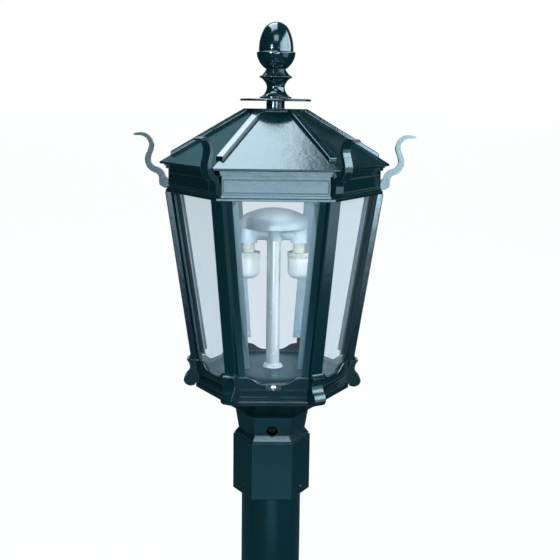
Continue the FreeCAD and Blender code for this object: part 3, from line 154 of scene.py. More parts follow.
class Graph:
    def __init__(self, tree):
        self.tree = tree

    def add(self, kind, settings=None, sockets=None, out=0):
        node = self.tree.nodes.new(kind)
        for key, value in (settings or {}).items():
            if key == "stops":
                shapeRamp(node.color_ramp, value)
            else:
                setattr(node, key, value)
        for key, value in (sockets or {}).items():
            self.feed(node.inputs[key], value)
        return Wire(self, node.outputs[out])

    def feed(self, target, value):
        if isinstance(value, Wire):
            self.tree.links.new(value.socket, target)
        else:
            target.default_value = value


def shapeRamp(ramp, stops):
    while len(ramp.elements) < len(stops):
        ramp.elements.new(1)
    for element, (place, tone) in zip(ramp.elements, stops):
        element.position = place
        element.color = (tone, tone, tone, 1)


def shade(*colour):
    return (*colour, 1.0)


# how the masks find sharp edges, grooves, and the faces that look at the axis
maskLook = {"edgeSamples": 5, "edgeGain": 6, "grooveSamples": 6, "grooveFull": 0.25, "grooveFrom": 0.66,
            "inwardFrom": 0.35, "inwardGain": 3}


# A finish is a material whose surface is one Principled shader.
class Finish(Graph):
    def __init__(self, name):
        self.material = bpy.data.materials.new(name)
        self.material.use_nodes = True
        super().__init__(self.material.node_tree)
        self.surface = self.tree.nodes["Principled BSDF"]
        self.place = self.add("ShaderNodeTexCoord", out="Object")

    def noise(self, scale, detail=3, rough=0.5, where=None):
        return self.add("ShaderNodeTexNoise", None, {"Vector": where or self.place, "Scale": scale,
                                                     "Detail": detail, "Roughness": rough})

    def stretched(self, scale):
        return self.add("ShaderNodeMapping", None, {"Vector": self.place, "Scale": scale})

    def ramp(self, factor, *stops):
        return self.add("ShaderNodeValToRGB", {"stops": stops}, {"Fac": factor})

    def blend(self, factor, first, second):
        return self.add("ShaderNodeMix", {"data_type": "RGBA"}, {0: factor, 6: first, 7: second}, out=2)

    # patches of the noise: 0 below the first level of it, 1 above the second
    def blotches(self, scale, detail, rough, start, end, where=None):
        return self.ramp(self.noise(scale, detail, rough, where), (start, 0.0), (end, 1.0))

    def vector(self, operation, first, second=None, out="Vector"):
        sockets = {0: first} if second is None else {0: first, 1: second}
        return self.add("ShaderNodeVectorMath", {"operation": operation}, sockets, out)

    def faceNormal(self):
        return self.add("ShaderNodeNewGeometry", out="Normal")

    # the place seen from above, as a vector from the axis
    def fromAxis(self):
        return self.vector("MULTIPLY", self.place, (1, 1, 0))

    # 1 near a sharp edge, within about the given width
    def edges(self, width):
        rounded = self.add("ShaderNodeBevel", {"samples": maskLook["edgeSamples"]}, {"Radius": width})
        likeness = self.vector("DOT_PRODUCT", rounded, self.faceNormal(), "Value")
        return ((1 - likeness) * maskLook["edgeGain"]).clamped()

    # 1 deep in inner corners and grooves, within the given reach
    def corners(self, reach):
        openness = self.add("ShaderNodeAmbientOcclusion", {"samples": maskLook["grooveSamples"]},
                            {"Distance": reach}, out="AO")
        return self.ramp(openness, (maskLook["grooveFull"], 1.0), (maskLook["grooveFrom"], 0.0))

    # 1 on faces that look up
    def upward(self):
        return self.add("ShaderNodeSeparateXYZ", None, {0: self.faceNormal()}, out="Z").clamped()

    # 1 on faces that look at the lantern's axis
    def inward(self):
        radial = self.vector("NORMALIZE", self.fromAxis())
        facing = self.vector("DOT_PRODUCT", radial, self.faceNormal(), "Value")
        return ((0 - facing - maskLook["inwardFrom"]) * maskLook["inwardGain"]).clamped()

    def bump(self, height, distance, normal=None):
        sockets = {"Height": height, "Distance": distance}
        if normal:
            sockets["Normal"] = normal
        return self.add("ShaderNodeBump", None, sockets)

    def paint(self, **sockets):
        for key, value in sockets.items():
            self.feed(self.surface.inputs[key.replace("_", " ")], value)
        return self.material


# Dark green stove enamel over cast and folded metal. The grain is the pitting of a sand casting.
enamelLooks = {
    "castEnamel": {"grain": 420, "depth": 0.00014, "rough": 0.14, "wearAndHighlight": 0.30, "inside": 0.0},
    "smoothEnamel": {"grain": 330, "depth": 0.00007, "rough": 0.11, "wearAndHighlight": 0.22, "inside": 0.0},
    "cageEnamel": {"grain": 330, "depth": 0.00007, "rough": 0.11, "wearAndHighlight": 0.22, "inside": 1.0},
}
# the groove colour is painted shade, laid into inner corners and grooves
enamelColours = {"deep": shade(0.0002, 0.0062, 0.0078), "plain": shade(0.0005, 0.0115, 0.0140),
                 "groove": shade(0.0002, 0.0030, 0.0036),
                 "edge": shade(0.10, 0.19, 0.21), "dust": shade(0.10, 0.13, 0.13),
                 "inside": shade(0.110, 0.245, 0.275)}
# what every enamel shares: how far the rubbed wear with its painted highlight and the painted shade in
# corners reach, in metres, and how the coat mirrors
enamelCoat = {"wearAndHighlightReach": 0.0011, "shadeReach": 0.0035, "shadeRough": 0.75, "dust": 0.10, "dustRough": 0.6,
              "runs": 0.35, "peel": 0.00010, "mirror": 0.95, "mirrorTint": shade(0.60, 0.85, 1.0)}


def enamelFinish(name):
    look, coat = enamelLooks[name], enamelCoat
    finish = Finish(name)
    patches = finish.noise(13, 4, 0.6)
    grain = finish.noise(look["grain"], 4, 0.65)
    orangePeel = finish.noise(95, 2, 0.4)
    scuffs = finish.blotches(70, 6, 0.75, 0.40, 0.66)
    # lighter along sharp edges: partly rubbed wear, partly a painted highlight
    wearAndHighlight = finish.edges(coat["wearAndHighlightReach"]) * (0.25 + scuffs * 0.75) * look["wearAndHighlight"]
    runs = finish.blotches(9, 5, 0.6, 0.45, 0.72, finish.stretched((6, 6, 0.7)))
    dust = finish.upward() ** 3 * finish.blotches(34, 5, 0.7, 0.42, 0.70) * coat["dust"]
    # painted shade: inner corners and grooves get the dark groove colour and a duller coat
    sootAndShade = finish.corners(coat["shadeReach"])
    colour = finish.blend(patches, enamelColours["deep"], enamelColours["plain"])
    if look["inside"]:
        # painted light: faces that look at the axis are painted a paler grey green, standing in for the light
        # they catch and reflect from the front
        paintedInnerLight = finish.inward() * (0.7 + patches * 0.3)
        colour = finish.blend(paintedInnerLight, colour, enamelColours["inside"])
    colour = finish.blend(runs * coat["runs"], colour, enamelColours["deep"])
    colour = finish.blend(dust, colour, enamelColours["dust"])
    colour = finish.blend(wearAndHighlight, colour, enamelColours["edge"])
    colour = finish.blend(sootAndShade, colour, enamelColours["groove"])
    rough = look["rough"] + patches * 0.05 + dust * coat["dustRough"] + sootAndShade * coat["shadeRough"]
    relief = finish.bump(orangePeel, coat["peel"])
    relief = finish.bump(grain, look["depth"], relief)
    return finish.paint(Base_Color=colour, Roughness=rough.clamped(), Normal=relief,
                        Specular_IOR_Level=coat["mirror"], Specular_Tint=coat["mirrorTint"])


# clear drawn glass: a faint blue cast, slow waves, smears, and more mirror where it is seen at a slant
glassLook = {"clear": shade(0.912, 0.931, 0.945), "film": shade(0.55, 0.68, 0.74), "rough": 0.03,
             "ripple": 0.0016, "mirror": 0.010, "rimMirror": 0.16, "smearMirror": 0.008}


def glassFinish():
    look = glassLook
    finish = Finish("clearGlass")
    waves = finish.noise(7, 2, 0.4, finish.stretched((1, 1, 0.35)))
    smears = finish.blotches(22, 6, 0.7, 0.50, 0.80)
    rim = finish.add("ShaderNodeLayerWeight", None, {"Blend": 0.22}, out="Fresnel")
    finish.paint(Base_Color=look["film"], Roughness=look["rough"] + smears * 0.10,
                 Normal=finish.bump(waves, look["ripple"]), Specular_IOR_Level=0.5)
    clear = finish.add("ShaderNodeBsdfTransparent", None, {"Color": look["clear"]})
    amount = (look["mirror"] + rim * look["rimMirror"] + smears * look["smearMirror"]).clamped()
    gloss = Wire(finish, finish.surface.outputs[0])
    mixed = finish.add("ShaderNodeMixShader", None, {0: amount, 1: clear, 2: gloss})
    finish.feed(finish.tree.nodes["Material Output"].inputs["Surface"], mixed)
    return finish.material


# Bare and plated metals: base colour, a second tone, roughness, grain size, the stretch and depth of the
# grain, and how far the surface is metal rather than its dull oxide.
metalLooks = {
    "zincSteel": {"first": (0.42, 0.44, 0.45), "second": (0.60, 0.61, 0.60), "rough": 0.30, "grain": 420,
                  "stretch": (1, 1, 1), "depth": 0.00004, "metal": 1.0},
    # near black brass: painted shade for the dark hole in the neck where the gas cock sits
    "shadeBlackBrass": {"first": (0.007, 0.009, 0.007), "second": (0.018, 0.018, 0.012), "rough": 0.42,
                  "grain": 240, "stretch": (1, 1, 2), "depth": 0.00006, "metal": 1.0},
    "stripMetal": {"first": (0.24, 0.33, 0.37), "second": (0.32, 0.42, 0.47), "rough": 0.34, "grain": 260,
                   "stretch": (1, 1, 0.2), "depth": 0.00004, "metal": 1.0},
    "brightPipe": {"first": (0.90, 0.92, 0.93), "second": (0.95, 0.96, 0.97), "rough": 0.18, "grain": 300,
                   "stretch": (1, 1, 0.15), "depth": 0.000005, "metal": 0.30},
    "castBurner": {"first": (0.66, 0.76, 0.82), "second": (0.78, 0.87, 0.92), "rough": 0.46, "grain": 520,
                   "stretch": (1, 1, 1), "depth": 0.00016, "metal": 0.15},
    "spunDome": {"first": (0.60, 0.70, 0.76), "second": (0.70, 0.79, 0.84), "rough": 0.38, "grain": 160,
                 "stretch": (1, 1, 9), "depth": 0.00005, "metal": 0.12},
    "buttonMetal": {"first": (0.030, 0.070, 0.080), "second": (0.070, 0.130, 0.145), "rough": 0.28,
                    "grain": 380, "stretch": (8, 1, 1), "depth": 0.00005, "metal": 1.0},
}
metalAge = {"edgeReach": 0.0006, "edge": 0.5, "edgeGain": 1.35, "spots": 0.35, "spotTone": 0.45}


def metalFinish(name):
    look, age = metalLooks[name], metalAge
    finish = Finish(name)
    clouds = finish.noise(38, 5, 0.65)
    grain = finish.noise(look["grain"], 4, 0.6, finish.stretched(look["stretch"]))
    spots = finish.blotches(150, 4, 0.6, 0.60, 0.72)
    edge = finish.edges(age["edgeReach"])
    spotColour = shade(*[part * age["spotTone"] for part in look["first"]])
    edgeColour = shade(*[min(1, part * age["edgeGain"]) for part in look["second"]])
    colour = finish.blend(clouds, shade(*look["first"]), shade(*look["second"]))
    colour = finish.blend(spots * age["spots"], colour, spotColour)
    colour = finish.blend(edge * age["edge"], colour, edgeColour)
    rough = look["rough"] + clouds * 0.08 + spots * 0.15
    return finish.paint(Base_Color=colour, Roughness=rough.clamped(), Metallic=look["metal"],
                        Normal=finish.bump(grain, look["depth"]))


# the floor plate: green enamel, paler and glossier in a round patch about the pipe
plateLook = {"patchReach": 0.068, "patchWander": 0.012, "patchFade": 0.022, "edgeReach": 0.0010,
             "deep": shade(0.002, 0.020, 0.024), "plain": shade(0.005, 0.030, 0.035),
             "middlePatch": shade(0.048, 0.118, 0.138), "stain": shade(0.035, 0.075, 0.085),
             "edge": shade(0.20, 0.30, 0.32)}


def innerEnamelFinish():
    look = plateLook
    finish = Finish("innerEnamel")
    clouds = finish.noise(16, 5, 0.6)
    stains = finish.blotches(45, 6, 0.7, 0.50, 0.70)
    reach = finish.vector("LENGTH", finish.fromAxis(), out="Value")
    middlePatch = (((look["patchReach"] + clouds * look["patchWander"]) - reach) / look["patchFade"]).clamped()
    colour = finish.blend(clouds, look["deep"], look["plain"])
    colour = finish.blend(middlePatch, colour, look["middlePatch"])
    colour = finish.blend(stains * 0.25, colour, look["stain"])
    colour = finish.blend(finish.edges(look["edgeReach"]) * 0.5, colour, look["edge"])
    rough = 0.50 - middlePatch * 0.28 + stains * 0.08
    return finish.paint(Base_Color=colour, Roughness=rough, Metallic=middlePatch * 0.35,
                        Normal=finish.bump(finish.noise(300, 3), 0.00002), Specular_IOR_Level=0.0)


def ceramicFinish():
    # unglazed magnesia: cream white, fine pores, brown where the flame has touched it
    finish = Finish("burnerCeramic")
    pores = finish.blotches(900, 3, 0.6, 0.35, 0.55)
    sootAndShade = finish.blotches(120, 4, 0.6, 0.48, 0.75)
    edge = finish.edges(0.0007)
    colour = finish.blend(pores, shade(0.60, 0.57, 0.50), shade(0.78, 0.77, 0.72))
    colour = finish.blend(sootAndShade * 0.45, colour, shade(0.34, 0.30, 0.25))
    colour = finish.blend(edge * 0.4, colour, shade(0.88, 0.87, 0.84))
    return finish.paint(Base_Color=colour, Roughness=0.75 + sootAndShade * 0.1,
                        Normal=finish.bump(pores, 0.00008))


def mantleFinish():
    # burnt mantle ash: a white open knit, its loops drawn by the borders of small tall cells
    finish = Finish("mantleKnit")
    loops = finish.add("ShaderNodeTexVoronoi", {"feature": "DISTANCE_TO_EDGE"},
                       {"Vector": finish.stretched((1, 1, 0.62)), "Scale": 620, "Randomness": 0.35})
    threads = finish.ramp(loops, (0.02, 1.0), (0.20, 0.0))
    fuzz = finish.noise(1500, 3, 0.7)
    colour = finish.blend(threads, shade(0.80, 0.81, 0.81), shade(0.94, 0.94, 0.93))
    colour = finish.blend(fuzz * 0.25, colour, shade(0.86, 0.87, 0.87))
    return finish.paint(Base_Color=colour, Roughness=0.85 + fuzz * 0.1,
                        Normal=finish.bump(threads, 0.00030), Sheen_Weight=0.2)


finishes = {name: enamelFinish(name) for name in enamelLooks}
finishes.update({name: metalFinish(name) for name in metalLooks})
finishes.update(clearGlass=glassFinish(), innerEnamel=innerEnamelFinish(), burnerCeramic=ceramicFinish(),
                mantleKnit=mantleFinish())
# the finish that each of the record's slots gets where nothing else is said
slotFinish = {"paint": "smoothEnamel", "inner_paint": "innerEnamel", "glass": "clearGlass",
              "screw_steel": "zincSteel", "brass": "shadeBlackBrass", "bright_pipe": "brightPipe",
              "burner_metal": "castBurner", "nozzle_ceramic": "burnerCeramic", "mantle_fabric": "mantleKnit",
              "dome_metal": "spunDome", "button_metal": "buttonMetal", "strip_metal": "stripMetal"}
castNodes = ("fitter_collar", "neck_casting", "base_pan", "post_feet", "corner_horns", "collar_set_screws",
             "collar_screws", "pan_bolts")
print("finishes ready,", len(finishes))


def finishOf(node):
    if node in castNodes:
        return finishes["castEnamel"]
    if node.startswith(("base_rail", "corner_post", "cage_ring")):
        return finishes["cageEnamel"]
    return finishes[slotFinish[slots[node]]]


def newPiece(name, mesh, finish):
    piece = bpy.data.objects.new(name, mesh)
    scene.collection.objects.link(piece)
    mesh.materials.clear()
    mesh.materials.append(finish)
    return piece


def mount(piece, *replaced):
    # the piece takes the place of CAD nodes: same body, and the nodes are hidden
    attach(piece, bodies[replaced[0]])
    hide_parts(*replaced)
    return piece


# how a solid's triangles become whole faces: points closer than merge are one, bends under flat degrees
# are no edge, those over sharp are rounded, and those over crease are shaded as an edge
meshLook = {"merge": 2e-6, "flat": 0.5, "sharp": 28, "crease": 32}


def wholeFaces(node):
    shell = bmesh.new()
    shell.from_mesh(frame["nodes"][node].data)
    bmesh.ops.remove_doubles(shell, verts=shell.verts, dist=meshLook["merge"])
    bmesh.ops.dissolve_limit(shell, angle_limit=math.radians(meshLook["flat"]), verts=shell.verts,
                             edges=shell.edges)
    return shell


def roundOff(shell, edges, width, steps):
    bmesh.ops.bevel(shell, geom=edges, offset=width, offset_type="OFFSET", segments=steps, profile=0.5,
                    affect="EDGES", clamp_overlap=True)


def roundEdges(shell, width, steps):
    # an earlier rounding can leave edges without length
    sharp = [edge for edge in shell.edges if edge.is_manifold and edge.calc_length() > 0
             and edge.calc_face_angle(0) > math.radians(meshLook["sharp"])]
    roundOff(shell, sharp, width, steps)


def toMesh(shell, name, crease=meshLook["crease"]):
    mesh = bpy.data.meshes.new(name)
    shell.to_mesh(mesh)
    shell.free()
    mesh.shade_smooth()
    mesh.set_sharp_from_angle(angle=math.radians(crease))
    return mesh


def weigh(piece):
    # large faces keep their own normal, so a rounded edge shows as a narrow glint
    weights = piece.modifiers.new("weights", "WEIGHTED_NORMAL")
    weights.keep_sharp = True
    return piece


# the neck's foot slopes a little steeper than in the solid, so that it catches the light
neckLook = {"shoulder": 0.0776, "within": 0.0001, "bore": 0.040, "drop": 0.0008, "shrink": 0.975}


def steepenFoot(shell):
    look = neckLook
    for vertex in shell.verts:
        if abs(vertex.co.z - look["shoulder"]) < look["within"] and vertex.co.xy.length > look["bore"]:
            vertex.co = Vector((vertex.co.x * look["shrink"], vertex.co.y * look["shrink"],
                                vertex.co.z - look["drop"]))


# upper outer edges are rubbed rounder than the others: each row is a level to start from and a width
crests = {"base_rail": [(0.164, 0.0032), (0.144, 0.0018)], "base_pan": [(0.142, 0.0022)]}
crestLook = {"steps": 5, "upFrom": 0.55, "outFrom": 0.8}


# an upper outer edge lies between a face that looks up and one that looks away from the axis
def isCrest(edge, middle):
    radial = Vector((middle.x, middle.y, 0)).normalized()
    first, second = [face.normal for face in edge.link_faces]
    return any(up.z > crestLook["upFrom"] and out.dot(radial) > crestLook["outFrom"]
               for up, out in ((first, second), (second, first)))


def softenCrests(shell, node):
    ceiling = 1
    for level, width in next((rows for name, rows in crests.items() if node.startswith(name)), []):
        crest = []
        for edge in shell.edges:
            middle = (edge.verts[0].co + edge.verts[1].co) / 2
            if edge.is_manifold and level < middle.z < ceiling and isCrest(edge, middle):
                crest.append(edge)
        roundOff(shell, crest, width, crestLook["steps"])
        ceiling = level


def roundedNode(node, width, steps=2):
    shell = wholeFaces(node)
    softenCrests(shell, node)
    if node == "neck_casting":
        steepenFoot(shell)
    roundEdges(shell, width, steps)
    return mount(weigh(newPiece(node + "_finished", toMesh(shell, node), finishOf(node))), node)


# separate solids of a node, as lists of points, in the order of its mesh
def islands(node):
    shell = wholeFaces(node)
    seen = set()
    found = []
    for first in shell.verts:
        if first in seen:
            continue
        seen.add(first)
        todo = [first]
        group = []
        while todo:
            vertex = todo.pop()
            group.append(vertex.co.copy())
            for edge in vertex.link_edges:
                other = edge.other_vert(vertex)
                if other not in seen:
                    seen.add(other)
                    todo.append(other)
        found.append(group)
    shell.free()
    return found


# an outline of (radius, height) or (radius, height, turn) in metres, with arcs drawn as short steps
def drawOutline(outline, step=5):
    points = [Vector(outline[0][:2])]
    for corner in outline[1:]:
        start, end = points[-1], Vector(corner[:2])
        turn = math.radians(corner[2]) if len(corner) > 2 else 0
        if turn:
            chord = end - start
            count = max(2, round(abs(turn) / math.radians(step)))
            radius = chord.length / (2 * math.sin(turn / 2))
            heading = math.atan2(chord.y, chord.x) - turn / 2
            centre = start + Vector((-math.sin(heading), math.cos(heading))) * radius
            for i in range(1, count):
                now = heading + turn * i / count
                points.append(centre + Vector((math.sin(now), -math.cos(now))) * radius)
        points.append(end)
    return points


def lathe(name, outline, sides=96, centre=(0, 0)):
    shell = bmesh.new()
    rings = []
    for point in drawOutline(outline):
        if point.x < 1e-6:
            rings.append([shell.verts.new((centre[0], centre[1], point.y))])
            continue
        ring = []
        for i in range(sides):
            angle = math.tau * i / sides
            ring.append(shell.verts.new((centre[0] + point.x * math.cos(angle),
                                         centre[1] + point.x * math.sin(angle), point.y)))
        rings.append(ring)
    closed = len(rings[0]) > 1 and len(rings[-1]) > 1
    for low, high in zip(rings, rings[1:] + ([rings[0]] if closed else [])):
        for i in range(sides):
            corners = {id(v): v for v in (low[i % len(low)], low[(i + 1) % len(low)],
                                          high[(i + 1) % len(high)], high[i % len(high)])}
            if len(corners) > 2:
                shell.faces.new(list(corners.values()))
    bmesh.ops.recalc_face_normals(shell, faces=shell.faces)
    return toMesh(shell, name)


def newTree(name, inputs):
    tree = bpy.data.node_groups.new(name, "GeometryNodeTree")
    tree.interface.new_socket("Geometry", in_out="INPUT", socket_type="NodeSocketGeometry")
    for label, kind in inputs.items():
        tree.interface.new_socket(label, in_out="INPUT", socket_type="NodeSocket" + kind)
    tree.interface.new_socket("Geometry", in_out="OUTPUT", socket_type="NodeSocketGeometry")
    graph = Graph(tree)
    source = tree.nodes.new("NodeGroupInput")
    wires = {socket.name: Wire(graph, socket) for socket in source.outputs if socket.name}
    return tree, graph, wires


def closeTree(tree, graph, instances, wires):
    solid = graph.add("GeometryNodeRealizeInstances", None, {"Geometry": instances})
    dressed = graph.add("GeometryNodeSetMaterial", None, {"Geometry": solid, "Material": wires["Finish"]})
    graph.feed(tree.nodes.new("NodeGroupOutput").inputs[0], dressed)


# copies of the mesh, turned about the lantern's axis by equal angles
def ringTree():
    tree, graph, wires = newTree("turnedAboutAxis", {"Count": "Int", "Finish": "Material"})
    places = graph.add("GeometryNodePoints", None, {"Count": wires["Count"]})
    index = graph.add("GeometryNodeInputIndex")
    spin = graph.add("ShaderNodeCombineXYZ", None, {"Z": index * math.tau / wires["Count"]})
    copies = graph.add("GeometryNodeInstanceOnPoints", None,
                       {"Points": places, "Instance": wires["Geometry"], "Rotation": spin})
    closeTree(tree, graph, copies, wires)
    return tree


# a copy of an object on each point of the mesh, its Z along the point's aim, turned by chance
def studTree():
    tree, graph, wires = newTree("studsOnPoints", {"Stud": "Object", "Seed": "Int", "Finish": "Material"})
    stud = graph.add("GeometryNodeObjectInfo", None, {"Object": wires["Stud"]}, out="Geometry")
    aim = graph.add("GeometryNodeInputNamedAttribute", {"data_type": "FLOAT_VECTOR"}, {"Name": "aim"})
    along = graph.add("FunctionNodeAlignRotationToVector", {"axis": "Z"}, {"Vector": aim})
    chance = graph.add("FunctionNodeRandomValue", {"data_type": "FLOAT"},
                       {2: 0.0, 3: math.tau, "Seed": wires["Seed"]}, out=1)
    twist = graph.add("ShaderNodeCombineXYZ", None, {"Z": chance})
    turned = graph.add("FunctionNodeRotateRotation", {"rotation_space": "LOCAL"},
                       {"Rotation": along, "Rotate By": twist})
    copies = graph.add("GeometryNodeInstanceOnPoints", None,
                       {"Points": wires["Geometry"], "Instance": stud, "Rotation": turned})
    closeTree(tree, graph, copies, wires)
    return tree


ringOfCopies = ringTree()
studsOnPoints = studTree()


# runs a tree on a mesh and returns the result as a plain mesh
def grow(mesh, tree, **inputs):
    carrier = bpy.data.objects.new("carrier", mesh)
    scene.collection.objects.link(carrier)
    modifier = carrier.modifiers.new("grow", "NODES")
    modifier.node_group = tree
    for item in tree.interface.items_tree:
        if item.in_out == "INPUT" and item.name in inputs:
            modifier[item.identifier] = inputs[item.name]
    bpy.context.view_layer.update()
    graph = bpy.context.evaluated_depsgraph_get()
    grown = bpy.data.meshes.new_from_object(carrier.evaluated_get(graph), preserve_all_data_layers=True,
                                            depsgraph=graph)
    bpy.data.objects.remove(carrier)
    return grown


# six equal solids: the one on +X is finished, and the tree turns it about the axis
def sixRound(node, width, steps):
    shell = wholeFaces(node)
    others = []
    for face in shell.faces:
        middle = face.calc_center_median()
        if abs(math.atan2(middle.y, middle.x)) >= math.radians(30):
            others.append(face)
    bmesh.ops.delete(shell, geom=others, context="FACES")
    roundEdges(shell, width, steps)
    mesh = grow(toMesh(shell, node), ringOfCopies, Count=6, Finish=finishOf(node))
    mesh.set_sharp_from_angle(angle=math.radians(meshLook["crease"]))
    return mount(weigh(newPiece(node + "_finished", mesh, finishOf(node))), node)


# screws: radius and height of the head, radius of the shank and width of the slot
trimLook = {"head": 0.0034, "height": 0.0018, "shank": 0.0019, "slot": 0.0008}
boltLook = {"head": 0.0042, "height": 0.0030, "shank": 0.0025, "slot": 0.0012}
grubLook = {"head": 0.0030, "height": 0.0012, "shank": 0.0030, "slot": 0.0011}
# shares of the head and shank, apart from the tip's chamfer in metres and the crown's arc in degrees
screwShape = {"tip": 0.8, "chamfer": 0.0005, "under": 0.96, "brim": 0.16, "flank": 0.45, "crown": 62,
              "slotTop": 1.02, "sides": 28}


# one slotted screw at the origin: head up along Z, its seat at zero, the shank below
def screwModel(look, length):
    head, height, shank, shape = look["head"], look["height"], look["shank"], screwShape
    mesh = lathe("screwBlank", [(0, -length), (shank * shape["tip"], -length),
                                (shank, -length + shape["chamfer"]), (shank, 0), (head * shape["under"], 0),
                                (head, height * shape["brim"]), (head, height * shape["flank"]),
                                (0, height, shape["crown"])], sides=shape["sides"])
    blank = bpy.data.objects.new("screw", mesh)
    shell = bmesh.new()
    bmesh.ops.create_cube(shell, size=1)
    bmesh.ops.scale(shell, vec=(head * 3, look["slot"], height), verts=shell.verts)
    bmesh.ops.translate(shell, vec=(0, 0, height * shape["slotTop"]), verts=shell.verts)
    slotMesh = bpy.data.meshes.new("slot")
    shell.to_mesh(slotMesh)
    shell.free()
    cutter = bpy.data.objects.new("slotCutter", slotMesh)
    for thing in (blank, cutter):
        scene.collection.objects.link(thing)
    gouge = blank.modifiers.new("slot", "BOOLEAN")
    gouge.object = cutter
    gouge.operation = "DIFFERENCE"
    gouge.solver = "EXACT"
    graph = bpy.context.evaluated_depsgraph_get()
    blank.data = bpy.data.meshes.new_from_object(blank.evaluated_get(graph))
    blank.modifiers.clear()
    bpy.data.objects.remove(cutter)
    return blank


# screws whose heads look along a direction that aimAt gives for the middle of each solid
def screws(node, look, aimAt, seed):
    places = bpy.data.meshes.new(node)
    seats, aims = [], []
    for points in islands(node):
        middle = sum(points, Vector()) / len(points)
        aim = aimAt(middle).normalized()
        levels = [(point - middle).dot(aim) for point in points]
        seats.append(middle + aim * (max(levels) - look["height"]))
        aims.append(aim)
        length = max(levels) - min(levels) - look["height"]
    places.from_pydata(seats, [], [])
    places.attributes.new("aim", "FLOAT_VECTOR", "POINT")
    places.attributes["aim"].data.foreach_set("vector", [part for aim in aims for part in aim])
    model = screwModel(look, length)
    finish = finishOf(node)
    mesh = grow(places, studsOnPoints, Stud=model, Seed=seed, Finish=finish)
    bpy.data.objects.remove(model)
    mesh.set_sharp_from_angle(angle=math.radians(meshLook["crease"]))
    return mount(newPiece(node + "_finished", mesh, finish), node)


def towardsAxis(middle):
    return Vector((-middle.x, -middle.y, 0))


screws("retainer_screws", trimLook, towardsAxis, 3)
screws("horn_screws", trimLook, towardsAxis, 5)
screws("hinge_leaf_screws", trimLook, lambda middle: Vector((0, 1, 0)), 7)
screws("pane_button_screw", trimLook, lambda middle: Vector((0, -1, 0)), 8)
screws("collar_set_screws", grubLook, lambda middle: -towardsAxis(middle), 9)
screws("collar_screws", boltLook, lambda middle: Vector((0, 0, -1)), 11)
screws("pan_bolts", boltLook, lambda middle: Vector((0, 0, 1)), 13)
print("screws set")


# width of the rounding on the edges of each piece, in metres
edgeWidths = {
    "fitter_collar": 0.0007, "neck_casting": 0.0009, "base_pan": 0.0011, "cage_ring": 0.0006,
    "frieze_band": 0.00035, "roof_shell": 0.0008, "roof_cap": 0.0008, "hinge_leaf": 0.0004,
    "disc_spacer": 0.0004, "finial_nut": 0.0005, "gas_cock_body": 0.0006, "gas_cock_gland": 0.0005,
    "riser_locknut": 0.0006, "pane_button": 0.0004, "gas_cock_key": 0.0003, "floor_plate": 0.0003,
    "hinge_pin": 0.0003, "finial_stud": 0.0004, "gas_jet": 0.0003, "riser_flange": 0.0005,
}
# pieces that come once for each side or corner, by the start of their names
familyWidths = {"base_rail": 0.0006, "corner_post": 0.0005, "glass_pane": 0.0006}
# nodes of six equal solids, with the steps of the rounding too
sixWidths = {"post_feet": (0.0009, 3), "hip_ribs": (0.0011, 3), "corner_horns": (0.0010, 3),
             "pane_retainers": (0.0004, 2)}

for node, width in edgeWidths.items():
    roundedNode(node, width)
for node in frame["nodes"]:
    for family, width in familyWidths.items():
        if node.startswith(family):
            roundedNode(node, width)
for node, (width, steps) in sixWidths.items():
    sixRound(node, width, steps)
print("castings, cage and roof done")


# radius and height in the finial's own units, and the turn of the arc that leads there
finialLook = {
    "foot": 19.4, "footEdge": 1.6, "soft": 0.5, "neck": (11, 14.5, 73), "ring": (20.6, 25.4, 54),
    "ringSoft": (0.3, 0.45), "waist": (11.9, 34.6, 37), "cup": (23.8, 54.0, 52), "lip": 0.9, "egg": 21.0,
    "shoulder": (16.0, 80.3, 30), "top": 90.7, "bore": 4.95, "sides": 128,
}


def finial():
    look = finialLook
    low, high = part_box("finial")
    unit = (high.z - low.z) / look["top"]

    def at(radius, rise, turn=0):
        return (radius * unit, low.z + rise * unit, turn)

    foot, soft, lip, egg = look["foot"], look["soft"], look["lip"], look["egg"]
    neckRadius, neckRise, neckTurn = look["neck"]
    ringRadius, ringRise, ringTurn = look["ring"]
    ringIn, ringHalf = look["ringSoft"]
    waistRadius, waistRise, waistTurn = look["waist"]
    cupRadius, cupRise, cupTurn = look["cup"]
    crown = look["shoulder"][0]
    height = look["top"] - look["shoulder"][1]
    crownTurn = math.degrees(math.atan2(2 * crown * height, crown ** 2 - height ** 2))
    outline = [
        at(look["bore"], 0), at(foot - soft, 0), at(foot, soft, 60), at(foot, look["footEdge"]),
        at(neckRadius, neckRise, -neckTurn), at(ringRadius - ringIn, ringRise - ringHalf, -ringTurn),
        at(ringRadius - ringIn, ringRise + ringHalf, 100), at(waistRadius, waistRise, -waistTurn),
        at(cupRadius, cupRise, cupTurn), at(cupRadius - lip, cupRise + lip, 70),
        at(egg + soft, cupRise + lip), at(egg, cupRise + lip + soft, -60),
        at(*look["shoulder"]), at(0, look["top"], crownTurn),
    ]
    mesh = lathe("finial", outline, look["sides"])
    mount(newPiece("finial_finished", mesh, finishes["smoothEnamel"]), "finial")


discLook = {"bore": 0.00495, "edge": 0.0014, "edgeTurn": 80, "crown": 0.0204, "sides": 128}


def dripDisc():
    look = discLook
    low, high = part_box("drip_disc")
    radius, edge, turn = high.x, look["edge"], look["edgeTurn"]
    outline = [
        (look["bore"], low.z), (radius - edge, low.z), (radius, low.z + edge, turn),
        (radius - edge, low.z + 2 * edge, turn), (look["crown"], high.z), (look["bore"], high.z),
    ]
    mesh = lathe("dripDisc", outline, look["sides"])
    mount(newPiece("drip_disc_finished", mesh, finishes["smoothEnamel"]), "drip_disc")


domeLook = {"wall": 0.0015, "skirt": 0.005, "rimRoll": 0.0004, "shoulder": (0.0375, 0.0089), "land": 0.012,
            "beadHalf": 0.0016, "beadDrop": 0.0002, "landDrop": 0.0006, "sides": 128}


